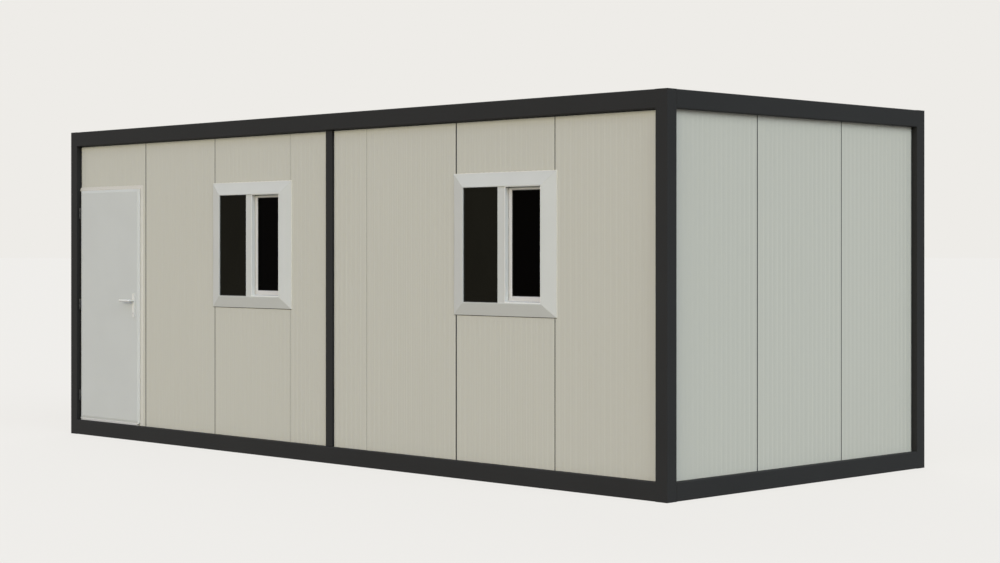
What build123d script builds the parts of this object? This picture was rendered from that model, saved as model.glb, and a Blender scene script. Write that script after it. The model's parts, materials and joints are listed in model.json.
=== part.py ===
"""Portable site cabin: a folded steel frame, sandwich panel walls, two sliding windows and a door.

Millimetres, +Z up. X runs along the cabin, the front faces -Y. The origin is on the ground, at
the centre of the footprint, which takes in the door's lever because it stands out in front.

Every wall has its own two planes. Seen from outside, `along` runs from the wall's left corner to
its right one and `depth` runs inwards from the frame's outer face.
"""
import os

from build123d import *

os.makedirs("parts", exist_ok=True)

# ---------------------------------------------------------------- driving sizes
LENGTH = 7000.0  # outside, left to right
WIDTH = 3000.0  # outside, front to back
HEIGHT = 2700.0  # ground to the top of the roof beams
RAIL = 128.0  # height of a base or roof beam
STEEL = 4.0  # sheet the frame is folded from
FOLD = 9.0  # outside radius of a fold
NEAR = 0.1  # corners of a profile closer than this to a line lie on it
SET_BACK = 45.0  # wall face behind the frame's outer face
WALL = 50.0  # thickness of a wall panel
POST_PROUD = 5.0  # corner post past the wall's inner face
MID_POST = 75.0  # face of a middle post
MID_PROUD = 20.0  # middle post in front of the wall
MID_OFFSET = 63.0  # middle post to the right of the middle
PITCH = 984.0  # width that one wall panel covers
CORNER_PANEL = 947.0  # front panel beside the right corner post
DOOR_WIDTH = 960.0  # over the door's casing
DOOR_MARGIN = 39.5  # casing to the next panel joint
WINDOW_HIGH = 1015.0  # over a window's casing
HEAD_BAND = 368.0  # wall above the door
HEAD_STEP = 10.0  # window head below the door's
LEVER_HEIGHT = 1208.0
LEVER_REACH = 60.0  # lever's outer side from the leaf's
LEAF = 70.0  # thickness of the door leaf
LEAF_FACE = 15.0  # depth of the leaf's outer face
JOIST_PITCH = 610.0
DECK = 22.0
COVERING = 3.0
CEILING = 15.0
ROOF_JOIST = 60.0
ROOF_LIP = 60.0  # top flange of a roof beam

# ---------------------------------------------------------------- sizes that follow
INSIDE = SET_BACK + WALL  # depth of the room's wall face
POST = INSIDE + POST_PROUD  # face of a corner post
WALL_TOP = HEIGHT - RAIL
REACH = LEVER_REACH - LEAF_FACE  # how far the lever stands out of the frame
FRONT = -(WIDTH + REACH) / 2 + REACH
BACK = FRONT + WIDTH
FLOOR = RAIL - STEEL + DECK + COVERING

# wall panel joint, and the shadow gap that shows at it
TONGUE = 10.0
TONGUE_WIDE = 16.0
TONGUE_DEPTH = SET_BACK + WALL * 0.6  # middle of the tongue
GROOVE_PLAY = 0.5
SHADOW = 6.0
SHADOW_CLOSED = 1.0  # where the last panel of a bay is pushed home against a middle post
SHADOW_DEEP = 9.0

CORNERS = {
    "front": ((-LENGTH / 2, FRONT), (1, 0, 0), (0, 1, 0), LENGTH),
    "right": ((LENGTH / 2, FRONT), (0, 1, 0), (-1, 0, 0), WIDTH),
    "back": ((LENGTH / 2, BACK), (-1, 0, 0), (0, -1, 0), LENGTH),
    "left": ((-LENGTH / 2, BACK), (0, -1, 0), (1, 0, 0), WIDTH),
}


def plan(wall, height):
    """Plane at a height: x runs along the wall, y runs inwards."""
    (x, y), along, _, _ = CORNERS[wall]
    return Plane(origin=(x, y, height), x_dir=along, z_dir=(0, 0, 1))


def section(wall, start):
    """Plane across the wall: x runs inwards, y runs up."""
    (x, y), along, inwards, _ = CORNERS[wall]
    origin = (x + along[0] * start, y + along[1] * start, 0)
    return Plane(origin=origin, x_dir=inwards, z_dir=along)


def front_at(depth):
    """Plane of the front wall at a depth: x runs along it, y runs up, and it faces outwards."""
    return Plane(origin=(-LENGTH / 2, FRONT + depth, 0), x_dir=(1, 0, 0), z_dir=(0, -1, 0))


def slab(wall, along, depth, height, mode=Mode.ADD):
    """Box between two values each of along, depth and height."""
    with BuildSketch(plan(wall, height[0])) as outline:
        with Locations(((along[0] + along[1]) / 2, (depth[0] + depth[1]) / 2)):
            Rectangle(along[1] - along[0], depth[1] - depth[0])
    extrude(outline.sketch, amount=height[1] - height[0], mode=mode)


def pane_of(along, height, depth, thick, mode=Mode.ADD):
    """Upright plate in the front wall, its outer face at a depth."""
    with BuildSketch(front_at(depth)) as outline:
        with Locations(((along[0] + along[1]) / 2, (height[0] + height[1]) / 2)):
            Rectangle(along[1] - along[0], height[1] - height[0])
    extrude(outline.sketch, amount=-thick, mode=mode)


def bevel(outer_along, outer_height, inner_along, inner_height, back, face, mode=Mode.ADD):
    """Plate whose edges slope from an outline at depth `back` to a smaller one at depth `face`."""
    with BuildSketch(front_at(back)) as outer:
        with Locations(((outer_along[0] + outer_along[1]) / 2, (outer_height[0] + outer_height[1]) / 2)):
            Rectangle(outer_along[1] - outer_along[0], outer_height[1] - outer_height[0])
    with BuildSketch(front_at(face)) as inner:
        with Locations(((inner_along[0] + inner_along[1]) / 2, (inner_height[0] + inner_height[1]) / 2)):
            Rectangle(inner_along[1] - inner_along[0], inner_height[1] - inner_height[0])
    loft(Sketch(children=[outer.sketch.face(), inner.sketch.face()]).faces(), ruled=True, mode=mode)


def grown(span, by):
    """A pair of values moved apart by the same amount each way."""
    return (span[0] - by, span[1] + by)


def channel(wall, start, stop, bottom, lower_flange, upper_flange):
    """Folded C section, its web on the frame's outer face."""
    top = bottom + RAIL
    with BuildSketch(section(wall, start)) as profile:
        with BuildLine():
            Polyline(
                (0, bottom), (lower_flange, bottom), (lower_flange, bottom + STEEL),
                (STEEL, bottom + STEEL), (STEEL, top - STEEL), (upper_flange, top - STEEL),
                (upper_flange, top), (0, top), close=True,
            )
        make_face()
        fillet(profile.vertices().filter_by(lambda v: abs(v.X) < NEAR), FOLD)
        fillet(profile.vertices().filter_by(lambda v: abs(v.X - STEEL) < NEAR), FOLD - STEEL)
    extrude(profile.sketch, amount=stop - start)


def edge_points(position, kind, shadow, side):
    """Plan of a panel's edge from its outer face to its inner one; side is 1 on the right."""
    if kind == "flat":
        return [(position, SET_BACK), (position, INSIDE)]
    half = TONGUE_WIDE / 2 if kind == "tongue" else TONGUE_WIDE / 2 + GROOVE_PLAY
    reach = TONGUE if kind == "tongue" else -(TONGUE + GROOVE_PLAY)
    return [
        (position - side * shadow / 2, SET_BACK),
        (position - side * shadow / 2, SET_BACK + SHADOW_DEEP),
        (position, SET_BACK + SHADOW_DEEP),
        (position, TONGUE_DEPTH - half),
        (position + side * reach, TONGUE_DEPTH - half),
        (position + side * reach, TONGUE_DEPTH + half),
        (position, TONGUE_DEPTH + half),
        (position, INSIDE),
    ]


def panel(wall, place, height=(RAIL, WALL_TOP)):
    """Sandwich panel: place gives its two ends, then the kind of edge and the gap at each."""
    start, stop, left, right = place
    points = edge_points(start, *left, -1) + edge_points(stop, *right, 1)[::-1]
    with BuildSketch(plan(wall, height[0])) as outline:
        with BuildLine():
            Polyline(*points, close=True)
        make_face()
    extrude(outline.sketch, amount=height[1] - height[0])


def bay(joints, closed=None):
    """Places of the panels in a bay: a tongue on the left, a groove on the right, ends flat."""
    last = len(joints) - 2
    gaps = [SHADOW_CLOSED if joint == closed else SHADOW for joint in joints]
    return [
        (
            joints[at], joints[at + 1],
            ("tongue" if at else "flat", gaps[at]),
            ("groove" if at < last else "flat", gaps[at + 1]),
        )
        for at in range(last + 1)
    ]


# ---------------------------------------------------------------- base frame and floor
with BuildPart() as base_beams_long:
    for wall in ("front", "back"):
        channel(wall, POST, LENGTH - POST, 0, INSIDE, INSIDE)
base_beams_long.part.label = "base_beams_long"
export_step(base_beams_long.part, "parts/base_beams_long.step")

with BuildPart() as base_beams_end:
    for wall in ("right", "left"):
        channel(wall, POST, WIDTH - POST, 0, INSIDE, INSIDE)
base_beams_end.part.label = "base_beams_end"
export_step(base_beams_end.part, "parts/base_beams_end.step")


def joists(width, low, high, sheet):
    """Row of rectangular tubes lying in the front and back beams, clear of their folds."""
    count = int((LENGTH - 2 * POST) / JOIST_PITCH)
    step = (LENGTH - 2 * POST) / (count + 1)
    for place in range(count):
        at = POST + step * (place + 1)
        with BuildSketch(section("right", FOLD)) as tube:
            with Locations((at, (low + high) / 2)):
                Rectangle(width, high - low)
                Rectangle(width - 2 * sheet, high - low - 2 * sheet, mode=Mode.SUBTRACT)
        extrude(tube.sketch, amount=WIDTH - 2 * FOLD)


FLOOR_JOIST = 50.0  # width of a floor joist
ROOF_TUBE = 40.0  # and of a roof one
TUBE_SHEET = 3.0

with BuildPart() as floor_joists:
    joists(FLOOR_JOIST, STEEL, RAIL - STEEL, TUBE_SHEET)
floor_joists.part.label = "floor_joists"
export_step(floor_joists.part, "parts/floor_joists.step")

with BuildPart() as floor_deck:
    slab("front", (POST, LENGTH - POST), (POST, WIDTH - POST), (RAIL - STEEL, RAIL - STEEL + DECK))
floor_deck.part.label = "floor_deck"
export_step(floor_deck.part, "parts/floor_deck.step")

with BuildPart() as floor_covering:
    slab("front", (POST, LENGTH - POST), (POST, WIDTH - POST), (FLOOR - COVERING, FLOOR))
floor_covering.part.label = "floor_covering"
export_step(floor_covering.part, "parts/floor_covering.step")

# ---------------------------------------------------------------- posts
FOOT_PLATE = 8.0
FOOT_HOLE = 20.0  # radius of the hole in a post's foot

with BuildPart() as corner_posts:
    for wall in CORNERS:
        with BuildSketch(plan(wall, 0)) as tube:
            with Locations((POST / 2, POST / 2)):
                Rectangle(POST, POST)
            fillet(tube.vertices().sort_by_distance(plan(wall, 0).origin)[0], FOLD)
            with Locations((POST / 2, POST / 2)):
                Rectangle(POST - 2 * STEEL, POST - 2 * STEEL, mode=Mode.SUBTRACT)
        extrude(tube.sketch, amount=HEIGHT)
        slab(wall, (STEEL, POST - STEEL), (STEEL, POST - STEEL), (HEIGHT - STEEL, HEIGHT))
        with BuildSketch(plan(wall, 0)) as foot:
            with Locations((POST / 2, POST / 2)):
                Rectangle(POST - 2 * STEEL, POST - 2 * STEEL)
                Circle(FOOT_HOLE, mode=Mode.SUBTRACT)
        extrude(foot.sketch, amount=FOOT_PLATE)
corner_posts.part.label = "corner_posts"
export_step(corner_posts.part, "parts/corner_posts.step")

with BuildPart() as mid_posts:
    for wall, centre in (("front", LENGTH / 2 + MID_OFFSET), ("back", LENGTH / 2 - MID_OFFSET)):
        face = SET_BACK - MID_PROUD
        with BuildSketch(plan(wall, RAIL)) as tube:
            with Locations((centre, (face + INSIDE) / 2)):
                Rectangle(MID_POST, INSIDE - face)
                Rectangle(MID_POST - 2 * TUBE_SHEET, INSIDE - face - 2 * TUBE_SHEET, mode=Mode.SUBTRACT)
        extrude(tube.sketch, amount=WALL_TOP - RAIL)
mid_posts.part.label = "mid_posts"
export_step(mid_posts.part, "parts/mid_posts.step")

# ---------------------------------------------------------------- roof
with BuildPart() as roof_beams_long:
    for wall in ("front", "back"):
        channel(wall, POST, LENGTH - POST, WALL_TOP, INSIDE, ROOF_LIP)
roof_beams_long.part.label = "roof_beams_long"
export_step(roof_beams_long.part, "parts/roof_beams_long.step")

with BuildPart() as roof_beams_end:
    for wall in ("right", "left"):
        channel(wall, POST, WIDTH - POST, WALL_TOP, INSIDE, ROOF_LIP)
roof_beams_end.part.label = "roof_beams_end"
export_step(roof_beams_end.part, "parts/roof_beams_end.step")

with BuildPart() as roof_joists:
    joists(ROOF_TUBE, WALL_TOP + STEEL, WALL_TOP + STEEL + ROOF_JOIST, TUBE_SHEET)
roof_joists.part.label = "roof_joists"
export_step(roof_joists.part, "parts/roof_joists.step")

RIB_PITCH = 200.0
RIB = 20.0  # height of a rib
RIB_CROWN = 60.0  # width of a rib at its top
RIB_FOOT = 90.0  # and at its bottom
SHEET = 1.0

with BuildPart() as roof_sheet:
    rest = WALL_TOP + STEEL + ROOF_JOIST
    span = LENGTH - 2 * STEEL
    ribs = int(span / RIB_PITCH)
    lead = (span - ribs * RIB_PITCH) / 2
    line = [(STEEL, rest)]
    for rib in range(ribs):
        middle = STEEL + lead + RIB_PITCH * (rib + 0.5)
        line += [(middle - RIB_FOOT / 2, rest), (middle - RIB_CROWN / 2, rest + RIB)]
        line += [(middle + RIB_CROWN / 2, rest + RIB), (middle + RIB_FOOT / 2, rest)]
    line.append((LENGTH - STEEL, rest))
    with BuildSketch(section("right", STEEL)) as profile:
        with BuildLine():
            Polyline(*line, *[(x, z + SHEET) for x, z in line[::-1]], close=True)
        make_face()
    extrude(profile.sketch, amount=WIDTH - 2 * STEEL)
    for wall in CORNERS:
        slab(wall, (0, POST), (0, POST), grown((rest, rest + RIB), SHEET * 2), mode=Mode.SUBTRACT)
roof_sheet.part.label = "roof_sheet"
export_step(roof_sheet.part, "parts/roof_sheet.step")

with BuildPart() as ceiling:
    over_wall = WALL_TOP + STEEL
    slab("front", (POST, LENGTH - POST), (POST, WIDTH - POST), (over_wall - CEILING, over_wall))
ceiling.part.label = "ceiling"
export_step(ceiling.part, "parts/ceiling.step")

# ---------------------------------------------------------------- where the front's joints fall
CASING_LAP = 20.0  # casing of a door or window over the wall round it

DOOR_EDGE = POST + DOOR_WIDTH  # casing's outer edge
DOOR_HOLE = DOOR_EDGE - CASING_LAP  # wall opening's right side; its left side is the corner post
DOOR_TOP = WALL_TOP - HEAD_BAND
DOOR_HOLE_TOP = DOOR_TOP - CASING_LAP

mid_left = LENGTH / 2 + MID_OFFSET - MID_POST / 2
mid_right = mid_left + MID_POST
door_joint = DOOR_EDGE + DOOR_MARGIN
last_joint = LENGTH - POST - CORNER_PANEL
whole_left = int((mid_left - door_joint) / PITCH)
whole_right = int((last_joint - mid_right) / PITCH)
left_joints = [door_joint + PITCH * count for count in range(whole_left + 1)]
right_joints = [last_joint - PITCH * count for count in range(whole_right, -1, -1)]

left_bay = bay([DOOR_HOLE, *left_joints, mid_left], closed=left_joints[-1])
right_bay = bay([mid_right, *right_joints, LENGTH - POST], closed=right_joints[0])
strip, window_1, window_2 = left_bay[0], left_bay[-2], right_bay[-2]
whole_panels = left_bay[1:-2] + left_bay[-1:] + right_bay[:-2] + right_bay[-1:]

# ---------------------------------------------------------------- front wall
WINDOW_TOP = WALL_TOP - HEAD_BAND - HEAD_STEP
WINDOW_BOTTOM = WINDOW_TOP - WINDOW_HIGH
window_hole = (WINDOW_BOTTOM + CASING_LAP, WINDOW_TOP - CASING_LAP)

with BuildPart() as front_panels_odd:
    for place in whole_panels[::2]:
        panel("front", place)
front_panels_odd.part.label = "front_panels_odd"
export_step(front_panels_odd.part, "parts/front_panels_odd.step")

with BuildPart() as front_panels_even:
    for place in whole_panels[1::2]:
        panel("front", place)
front_panels_even.part.label = "front_panels_even"
export_step(front_panels_even.part, "parts/front_panels_even.step")

with BuildPart() as front_strip_beside_door:
    panel("front", strip)
front_strip_beside_door.part.label = "front_strip_beside_door"
export_step(front_strip_beside_door.part, "parts/front_strip_beside_door.step")

with BuildPart() as front_panel_over_door:
    panel("front", (POST, DOOR_HOLE, ("flat", 0), ("flat", 0)), (DOOR_HOLE_TOP, WALL_TOP))
front_panel_over_door.part.label = "front_panel_over_door"
export_step(front_panel_over_door.part, "parts/front_panel_over_door.step")

with BuildPart() as window_head_panels:
    for place in (window_1, window_2):
        panel("front", place, (window_hole[1], WALL_TOP))
window_head_panels.part.label = "window_head_panels"
export_step(window_head_panels.part, "parts/window_head_panels.step")

with BuildPart() as window_sill_panels:
    for place in (window_1, window_2):
        panel("front", place, (RAIL, window_hole[0]))
window_sill_panels.part.label = "window_sill_panels"
export_step(window_sill_panels.part, "parts/window_sill_panels.step")

# ---------------------------------------------------------------- end and back walls
whole_end = max(int((WIDTH - 2 * POST) / PITCH) - 1, 0)
end_joints = [WIDTH / 2 + PITCH * (count - whole_end / 2) for count in range(whole_end + 1)]
end_bay = bay([POST, *end_joints, WIDTH - POST])

with BuildPart() as right_panels_odd:
    for place in end_bay[::2]:
        panel("right", place)
right_panels_odd.part.label = "right_panels_odd"
export_step(right_panels_odd.part, "parts/right_panels_odd.step")

with BuildPart() as right_panels_even:
    for place in end_bay[1::2]:
        panel("right", place)
right_panels_even.part.label = "right_panels_even"
export_step(right_panels_even.part, "parts/right_panels_even.step")

with BuildPart() as left_panels_odd:
    for place in end_bay[::2]:
        panel("left", place)
left_panels_odd.part.label = "left_panels_odd"
export_step(left_panels_odd.part, "parts/left_panels_odd.step")

with BuildPart() as left_panels_even:
    for place in end_bay[1::2]:
        panel("left", place)
left_panels_even.part.label = "left_panels_even"
export_step(left_panels_even.part, "parts/left_panels_even.step")


def facing(joints):
    """The front's joints as they count from the back wall's own left corner."""
    return [LENGTH - joint for joint in joints[::-1]]


back_right = facing(right_joints)
back_left = facing(left_joints)
back_places = bay([POST, *back_right, LENGTH - mid_right], closed=back_right[-1])
back_places += bay([LENGTH - mid_left, *back_left, LENGTH - POST], closed=back_left[0])

with BuildPart() as back_panels_odd:
    for place in back_places[::2]:
        panel("back", place)
back_panels_odd.part.label = "back_panels_odd"
export_step(back_panels_odd.part, "parts/back_panels_odd.step")

with BuildPart() as back_panels_even:
    for place in back_places[1::2]:
        panel("back", place)
back_panels_even.part.label = "back_panels_even"
export_step(back_panels_even.part, "parts/back_panels_even.step")

# ---------------------------------------------------------------- trims inside the room
TRIM = 12.0  # thickness of a trim
SKIRTING = 60.0  # height of the skirting
COVE = 30.0  # height of the trim under the ceiling


def ring(low, high):
    """Trim round the room's walls, let in round the corner posts."""
    for wall in CORNERS:
        far = CORNERS[wall][3] - INSIDE
        slab(wall, (INSIDE, far), (INSIDE, INSIDE + TRIM), (low, high))
    for wall in CORNERS:
        slab(wall, (0, POST), (0, POST), (low, high), mode=Mode.SUBTRACT)


with BuildPart() as skirting:
    ring(FLOOR, FLOOR + SKIRTING)
    slab("front", (POST, DOOR_HOLE), (0, INSIDE + TRIM), (FLOOR, FLOOR + SKIRTING), mode=Mode.SUBTRACT)
skirting.part.label = "skirting"
export_step(skirting.part, "parts/skirting.step")

with BuildPart() as ceiling_trim:
    ring(WALL_TOP + STEEL - CEILING - COVE, WALL_TOP + STEEL - CEILING)
ceiling_trim.part.label = "ceiling_trim"
export_step(ceiling_trim.part, "parts/ceiling_trim.step")

# ---------------------------------------------------------------- windows
CASING = 124.0  # width of a window's casing at the sides
CASING_HEAD = 100.0  # at its top
CASING_SILL = 94.0  # and at its bottom
CASING_EDGE = 6.0  # thickness of a casing at its outer edge
RIM = 6.0  # flat rim round the light
RIM_DEPTH = 10.0  # depth of the rim's face
INNER_LIP = 10.0  # frame past the wall's inner face
GLASS = 6.0
FIXED_GLASS = 20.0  # depth of the fixed pane's face
BEAD = 14.0  # ledge behind the fixed pane
MULLION = 76.0
MULLION_PROUD = 2.0  # mullion in front of the fixed pane
MULLION_SHIFT = 4.5  # mullion to the left of the middle
SASH_FACE = SET_BACK + 3.0
SASH_DEEP = 30.0
SASH_OVERLAP = 30.0  # sash behind the mullion
STILE_SHOWS = 33.0  # width of the sash's left stile past the mullion
STILE = 30.0  # right stile
RAIL_LOW = 33.0
RAIL_HIGH = 14.0
SASH_GLASS = 10.0  # pane behind the sash's face
CHAMFER = 6.0  # round the sash's pane
TRACK = 14.0  # sill rib the sash stands on
TRACK_TOP = 12.0  # rib above the sash
TRACK_TOP_DEPTH = 60.0


def groove_of(module, height):
    """Cut in a piece's right side that takes the next panel's tongue."""
    across = (module[1] - TONGUE - GROOVE_PLAY, module[1])
    depth = grown((TONGUE_DEPTH, TONGUE_DEPTH), TONGUE_WIDE / 2 + GROOVE_PLAY)
    slab("front", across, depth, height, mode=Mode.SUBTRACT)


for side, module in (("left", window_1[:2]), ("right", window_2[:2])):
    across = grown(module, CASING_LAP)
    height = (WINDOW_BOTTOM, WINDOW_TOP)
    light = grown(across, -CASING)
    light_height = (height[0] + CASING_SILL, height[1] - CASING_HEAD)
    centre = (across[0] + across[1]) / 2 - MULLION_SHIFT
    mullion = grown((centre, centre), MULLION / 2)
    fixed = (light[0], mullion[0])

    with BuildPart() as window_frame:
        pane_of(module, window_hole, SET_BACK, WALL + INNER_LIP / 2)
        pane_of(across, height, SET_BACK - CASING_EDGE, CASING_EDGE)
        bevel(across, height, grown(light, RIM), grown(light_height, RIM), SET_BACK - CASING_EDGE,
              RIM_DEPTH)
        pane_of(light, light_height, 0, INSIDE + INNER_LIP, mode=Mode.SUBTRACT)
        # ledge behind the fixed pane
        ledge = FIXED_GLASS + GLASS
        pane_of(fixed, light_height, ledge, SET_BACK - ledge)
        pane_of((fixed[0] + BEAD, fixed[1]), grown(light_height, -BEAD), ledge, SET_BACK - ledge,
                mode=Mode.SUBTRACT)
        pane_of(mullion, light_height, FIXED_GLASS - MULLION_PROUD, SET_BACK - FIXED_GLASS + MULLION_PROUD)
        # rib and slope below the sash, rib above it
        pane_of(light, (light_height[0], light_height[0] + TRACK), SET_BACK, WALL)
        with BuildSketch(section("front", mullion[1])) as sill:
            with BuildLine():
                Polyline(
                    (RIM_DEPTH, light_height[0]), (SET_BACK, light_height[0]),
                    (SET_BACK, light_height[0] + TRACK), close=True,
                )
            make_face()
        extrude(sill.sketch, amount=light[1] - mullion[1])
        pane_of(light, (light_height[1] - TRACK_TOP, light_height[1]), TRACK_TOP_DEPTH,
                INSIDE - TRACK_TOP_DEPTH)
        groove_of(module, window_hole)
    window_frame.part.label = "window_" + side + "_frame"
    export_step(window_frame.part, "parts/window_" + side + "_frame.step")

    sash = (mullion[1] - SASH_OVERLAP, light[1])
    sash_height = (light_height[0] + TRACK, light_height[1] - TRACK_TOP)
    sash_light = (mullion[1] + STILE_SHOWS, light[1] - STILE)
    sash_light_height = (sash_height[0] + RAIL_LOW, sash_height[1] - RAIL_HIGH)
    with BuildPart() as window_sash:
        pane_of(sash, sash_height, SASH_FACE, SASH_DEEP)
        pane_of(sash_light, sash_light_height, SASH_FACE, SASH_DEEP, mode=Mode.SUBTRACT)
        bevel(grown(sash_light, CHAMFER), grown(sash_light_height, CHAMFER), sash_light, sash_light_height,
              SASH_FACE, SASH_FACE + CHAMFER, mode=Mode.SUBTRACT)
    window_sash.part.label = "window_" + side + "_sash"
    export_step(window_sash.part, "parts/window_" + side + "_sash.step")

    with BuildPart() as window_glass:
        pane_of(fixed, light_height, FIXED_GLASS, GLASS)
        pane_of(sash_light, sash_light_height, SASH_FACE + SASH_GLASS, GLASS)
    window_glass.part.label = "window_" + side + "_glass"
    export_step(window_glass.part, "parts/window_" + side + "_glass.step")

# ---------------------------------------------------------------- door frame
FRAME_FACE = 35.0  # depth of the frame's flat face, round the leaf
FRAME_SHOWS = 30.0  # casing seen beside and above the leaf
FRAME_EDGE = 2.0  # thickness of the casing at its outer edge
FRAME_LIP = 5.0  # frame past the wall's inner face
HINGE_SIDE = 36.0  # corner post to the leaf
CLEAR = 5.0  # round the leaf
LOCK_CLEAR = 8.0  # beside the lock, where the swinging leaf needs more
THRESHOLD = 17.0
THRESHOLD_NOSE = 12.0  # depth of the threshold's face
LEAF_LAP = 15.0  # leaf over the frame
STOP = 15.0  # frame behind the leaf
STOP_CLEAR = 7.0  # leaf's back to the stop, filled by a seal
LOCK = 24.0  # width of the lock's plates
LOCK_IN = 14.0  # lock's plates behind the frame's face

leaf = (POST + HINGE_SIDE, DOOR_EDGE - FRAME_SHOWS)
leaf_height = (RAIL + THRESHOLD + CLEAR, DOOR_TOP - FRAME_SHOWS)
doorway = grown(leaf, -LEAF_LAP)
doorway_top = leaf_height[1] - LEAF_LAP
core = (doorway[0] + CLEAR, doorway[1] - LOCK_CLEAR)
core_height = (leaf_height[0], doorway_top - CLEAR)
LEAF_BACK = LEAF_FACE + LEAF
stop_face = LEAF_BACK + STOP_CLEAR
frame_back = INSIDE + FRAME_LIP
lock_depth = (FRAME_FACE + LOCK_IN, FRAME_FACE + LOCK_IN + LOCK)

# strike plate in the frame, opposite the lock
STRIKE_SHEET = 2.0
STRIKE = (LEVER_HEIGHT - 120, LEVER_HEIGHT + 60)
LATCH_SLOT = (LEVER_HEIGHT - 12, LEVER_HEIGHT + 12)
BOLT_SLOT = (LEVER_HEIGHT - 95, LEVER_HEIGHT - 60)
SLOT_MARGIN = 6.0
strike_in = (doorway[1], doorway[1] + STRIKE_SHEET)

with BuildPart() as door_frame:
    pane_of((POST, DOOR_HOLE), (RAIL, DOOR_HOLE_TOP), FRAME_FACE, frame_back - FRAME_FACE)
    pane_of((POST, DOOR_EDGE), (RAIL, DOOR_TOP), SET_BACK - FRAME_EDGE, FRAME_EDGE)
    bevel((POST, DOOR_EDGE), (RAIL, DOOR_TOP), (POST, leaf[1]), (RAIL, leaf_height[1]),
          SET_BACK - FRAME_EDGE, FRAME_FACE)
    pane_of(doorway, (RAIL, doorway_top), 0, stop_face, mode=Mode.SUBTRACT)
    pane_of(grown(doorway, -STOP), (RAIL, doorway_top - STOP), stop_face, frame_back, mode=Mode.SUBTRACT)
    # pocket for the hinges
    pane_of((POST, doorway[0]), (RAIL, leaf_height[1]), 0, SET_BACK, mode=Mode.SUBTRACT)
    slab("front", strike_in, lock_depth, STRIKE, mode=Mode.SUBTRACT)
door_frame.part.label = "door_frame"
export_step(door_frame.part, "parts/door_frame.step")

with BuildPart() as strike_plate:
    slab("front", strike_in, lock_depth, STRIKE)
    for slot in (LATCH_SLOT, BOLT_SLOT):
        slab("front", strike_in, grown(lock_depth, -SLOT_MARGIN), slot, mode=Mode.SUBTRACT)
strike_plate.part.label = "strike_plate"
export_step(strike_plate.part, "parts/strike_plate.step")

with BuildPart() as threshold:
    low, high = RAIL, RAIL + THRESHOLD
    nose = THRESHOLD_NOSE
    with BuildSketch(section("front", doorway[0])) as profile:
        with BuildLine():
            Polyline(
                (nose, low), (nose, high - CLEAR), (nose + CLEAR, high), (stop_face, high),
                (stop_face, low), close=True,
            )
        make_face()
    extrude(profile.sketch, amount=doorway[1] - doorway[0])
    slab("front", grown(doorway, -STOP), (stop_face, frame_back), (low, high))
threshold.part.label = "threshold"
export_step(threshold.part, "parts/threshold.step")

# ---------------------------------------------------------------- hinges
PIN = 4.0
PIN_PLAY = 0.05
KNUCKLE = 7.0
KNUCKLE_GAP = 2.0  # between the two halves of a hinge
HINGE_DEPTH = 22.0
HINGE_HALF = 45.0
HINGE_PLATE = 4.0
HINGE_FROM_END = 200.0  # upper and lower hinge from the leaf's ends
PIN_SHORT = 5.0  # end of the pin below the top of its knuckle
hinge_along = POST + HINGE_SIDE / 2
hinge_ends = grown(leaf_height, -HINGE_FROM_END)
hinge_heights = (hinge_ends[0], (hinge_ends[0] + hinge_ends[1]) / 2, hinge_ends[1])


def upright(radius, low, high, mode=Mode.ADD):
    """Cylinder on the hinge line."""
    with BuildSketch(plan("front", low)) as disc:
        with Locations((hinge_along, HINGE_DEPTH)):
            Circle(radius)
    extrude(disc.sketch, amount=high - low, mode=mode)


with BuildPart() as hinge_brackets:
    for middle in hinge_heights:
        low, high = middle - HINGE_HALF, middle - KNUCKLE_GAP / 2
        upright(KNUCKLE, low, high)
        web = grown((hinge_along, hinge_along), HINGE_PLATE / 2)
        slab("front", web, (HINGE_DEPTH, SET_BACK), (low, high))
        upright(PIN, high, middle + HINGE_HALF - PIN_SHORT)
hinge_brackets.part.label = "hinge_brackets"
export_step(hinge_brackets.part, "parts/hinge_brackets.step")

with BuildPart() as hinge_leaves:
    for middle in hinge_heights:
        low, high = middle + KNUCKLE_GAP / 2, middle + HINGE_HALF
        upright(KNUCKLE, low, high)
        slab("front", (hinge_along, leaf[0]), (HINGE_DEPTH, HINGE_DEPTH + HINGE_PLATE), (low, high))
        upright(PIN + PIN_PLAY, low, high, mode=Mode.SUBTRACT)
hinge_leaves.part.label = "hinge_leaves"
export_step(hinge_leaves.part, "parts/hinge_leaves.step")

# ---------------------------------------------------------------- door leaf
LEAF_BEVEL = 22.0  # width of the slope round the leaf's face
LEAF_SLOPE = 7.0  # and its depth
LAP_THICK = 8.0  # leaf's edge, where it laps the frame
SPINDLE_INSET = 66.5  # lever's axis from the leaf's edge
CYLINDER_BELOW = 110.0  # key cylinder below the lever
SPINDLE_BORE = 12.0  # radius of the leaf's hole for the lever
CYLINDER_BORE = 10.0
LOCK_SHEET = 3.0
LOCK_HEIGHT = (LEVER_HEIGHT - 130, LEVER_HEIGHT + 70)

spindle = (leaf[1] - SPINDLE_INSET, LEVER_HEIGHT)
cylinder = (spindle[0], LEVER_HEIGHT - CYLINDER_BELOW)
lap_depth = LEAF_FACE + LEAF_SLOPE
core_depth = lap_depth + LAP_THICK
lock_edge = (core[1] - LOCK_SHEET, core[1])


def rod(centre, radius, face, back, mode=Mode.ADD):
    """Cylinder through the front wall between two depths."""
    with BuildSketch(front_at(face)) as disc:
        with Locations(centre):
            Circle(radius)
    extrude(disc.sketch, amount=face - back, mode=mode)


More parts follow.
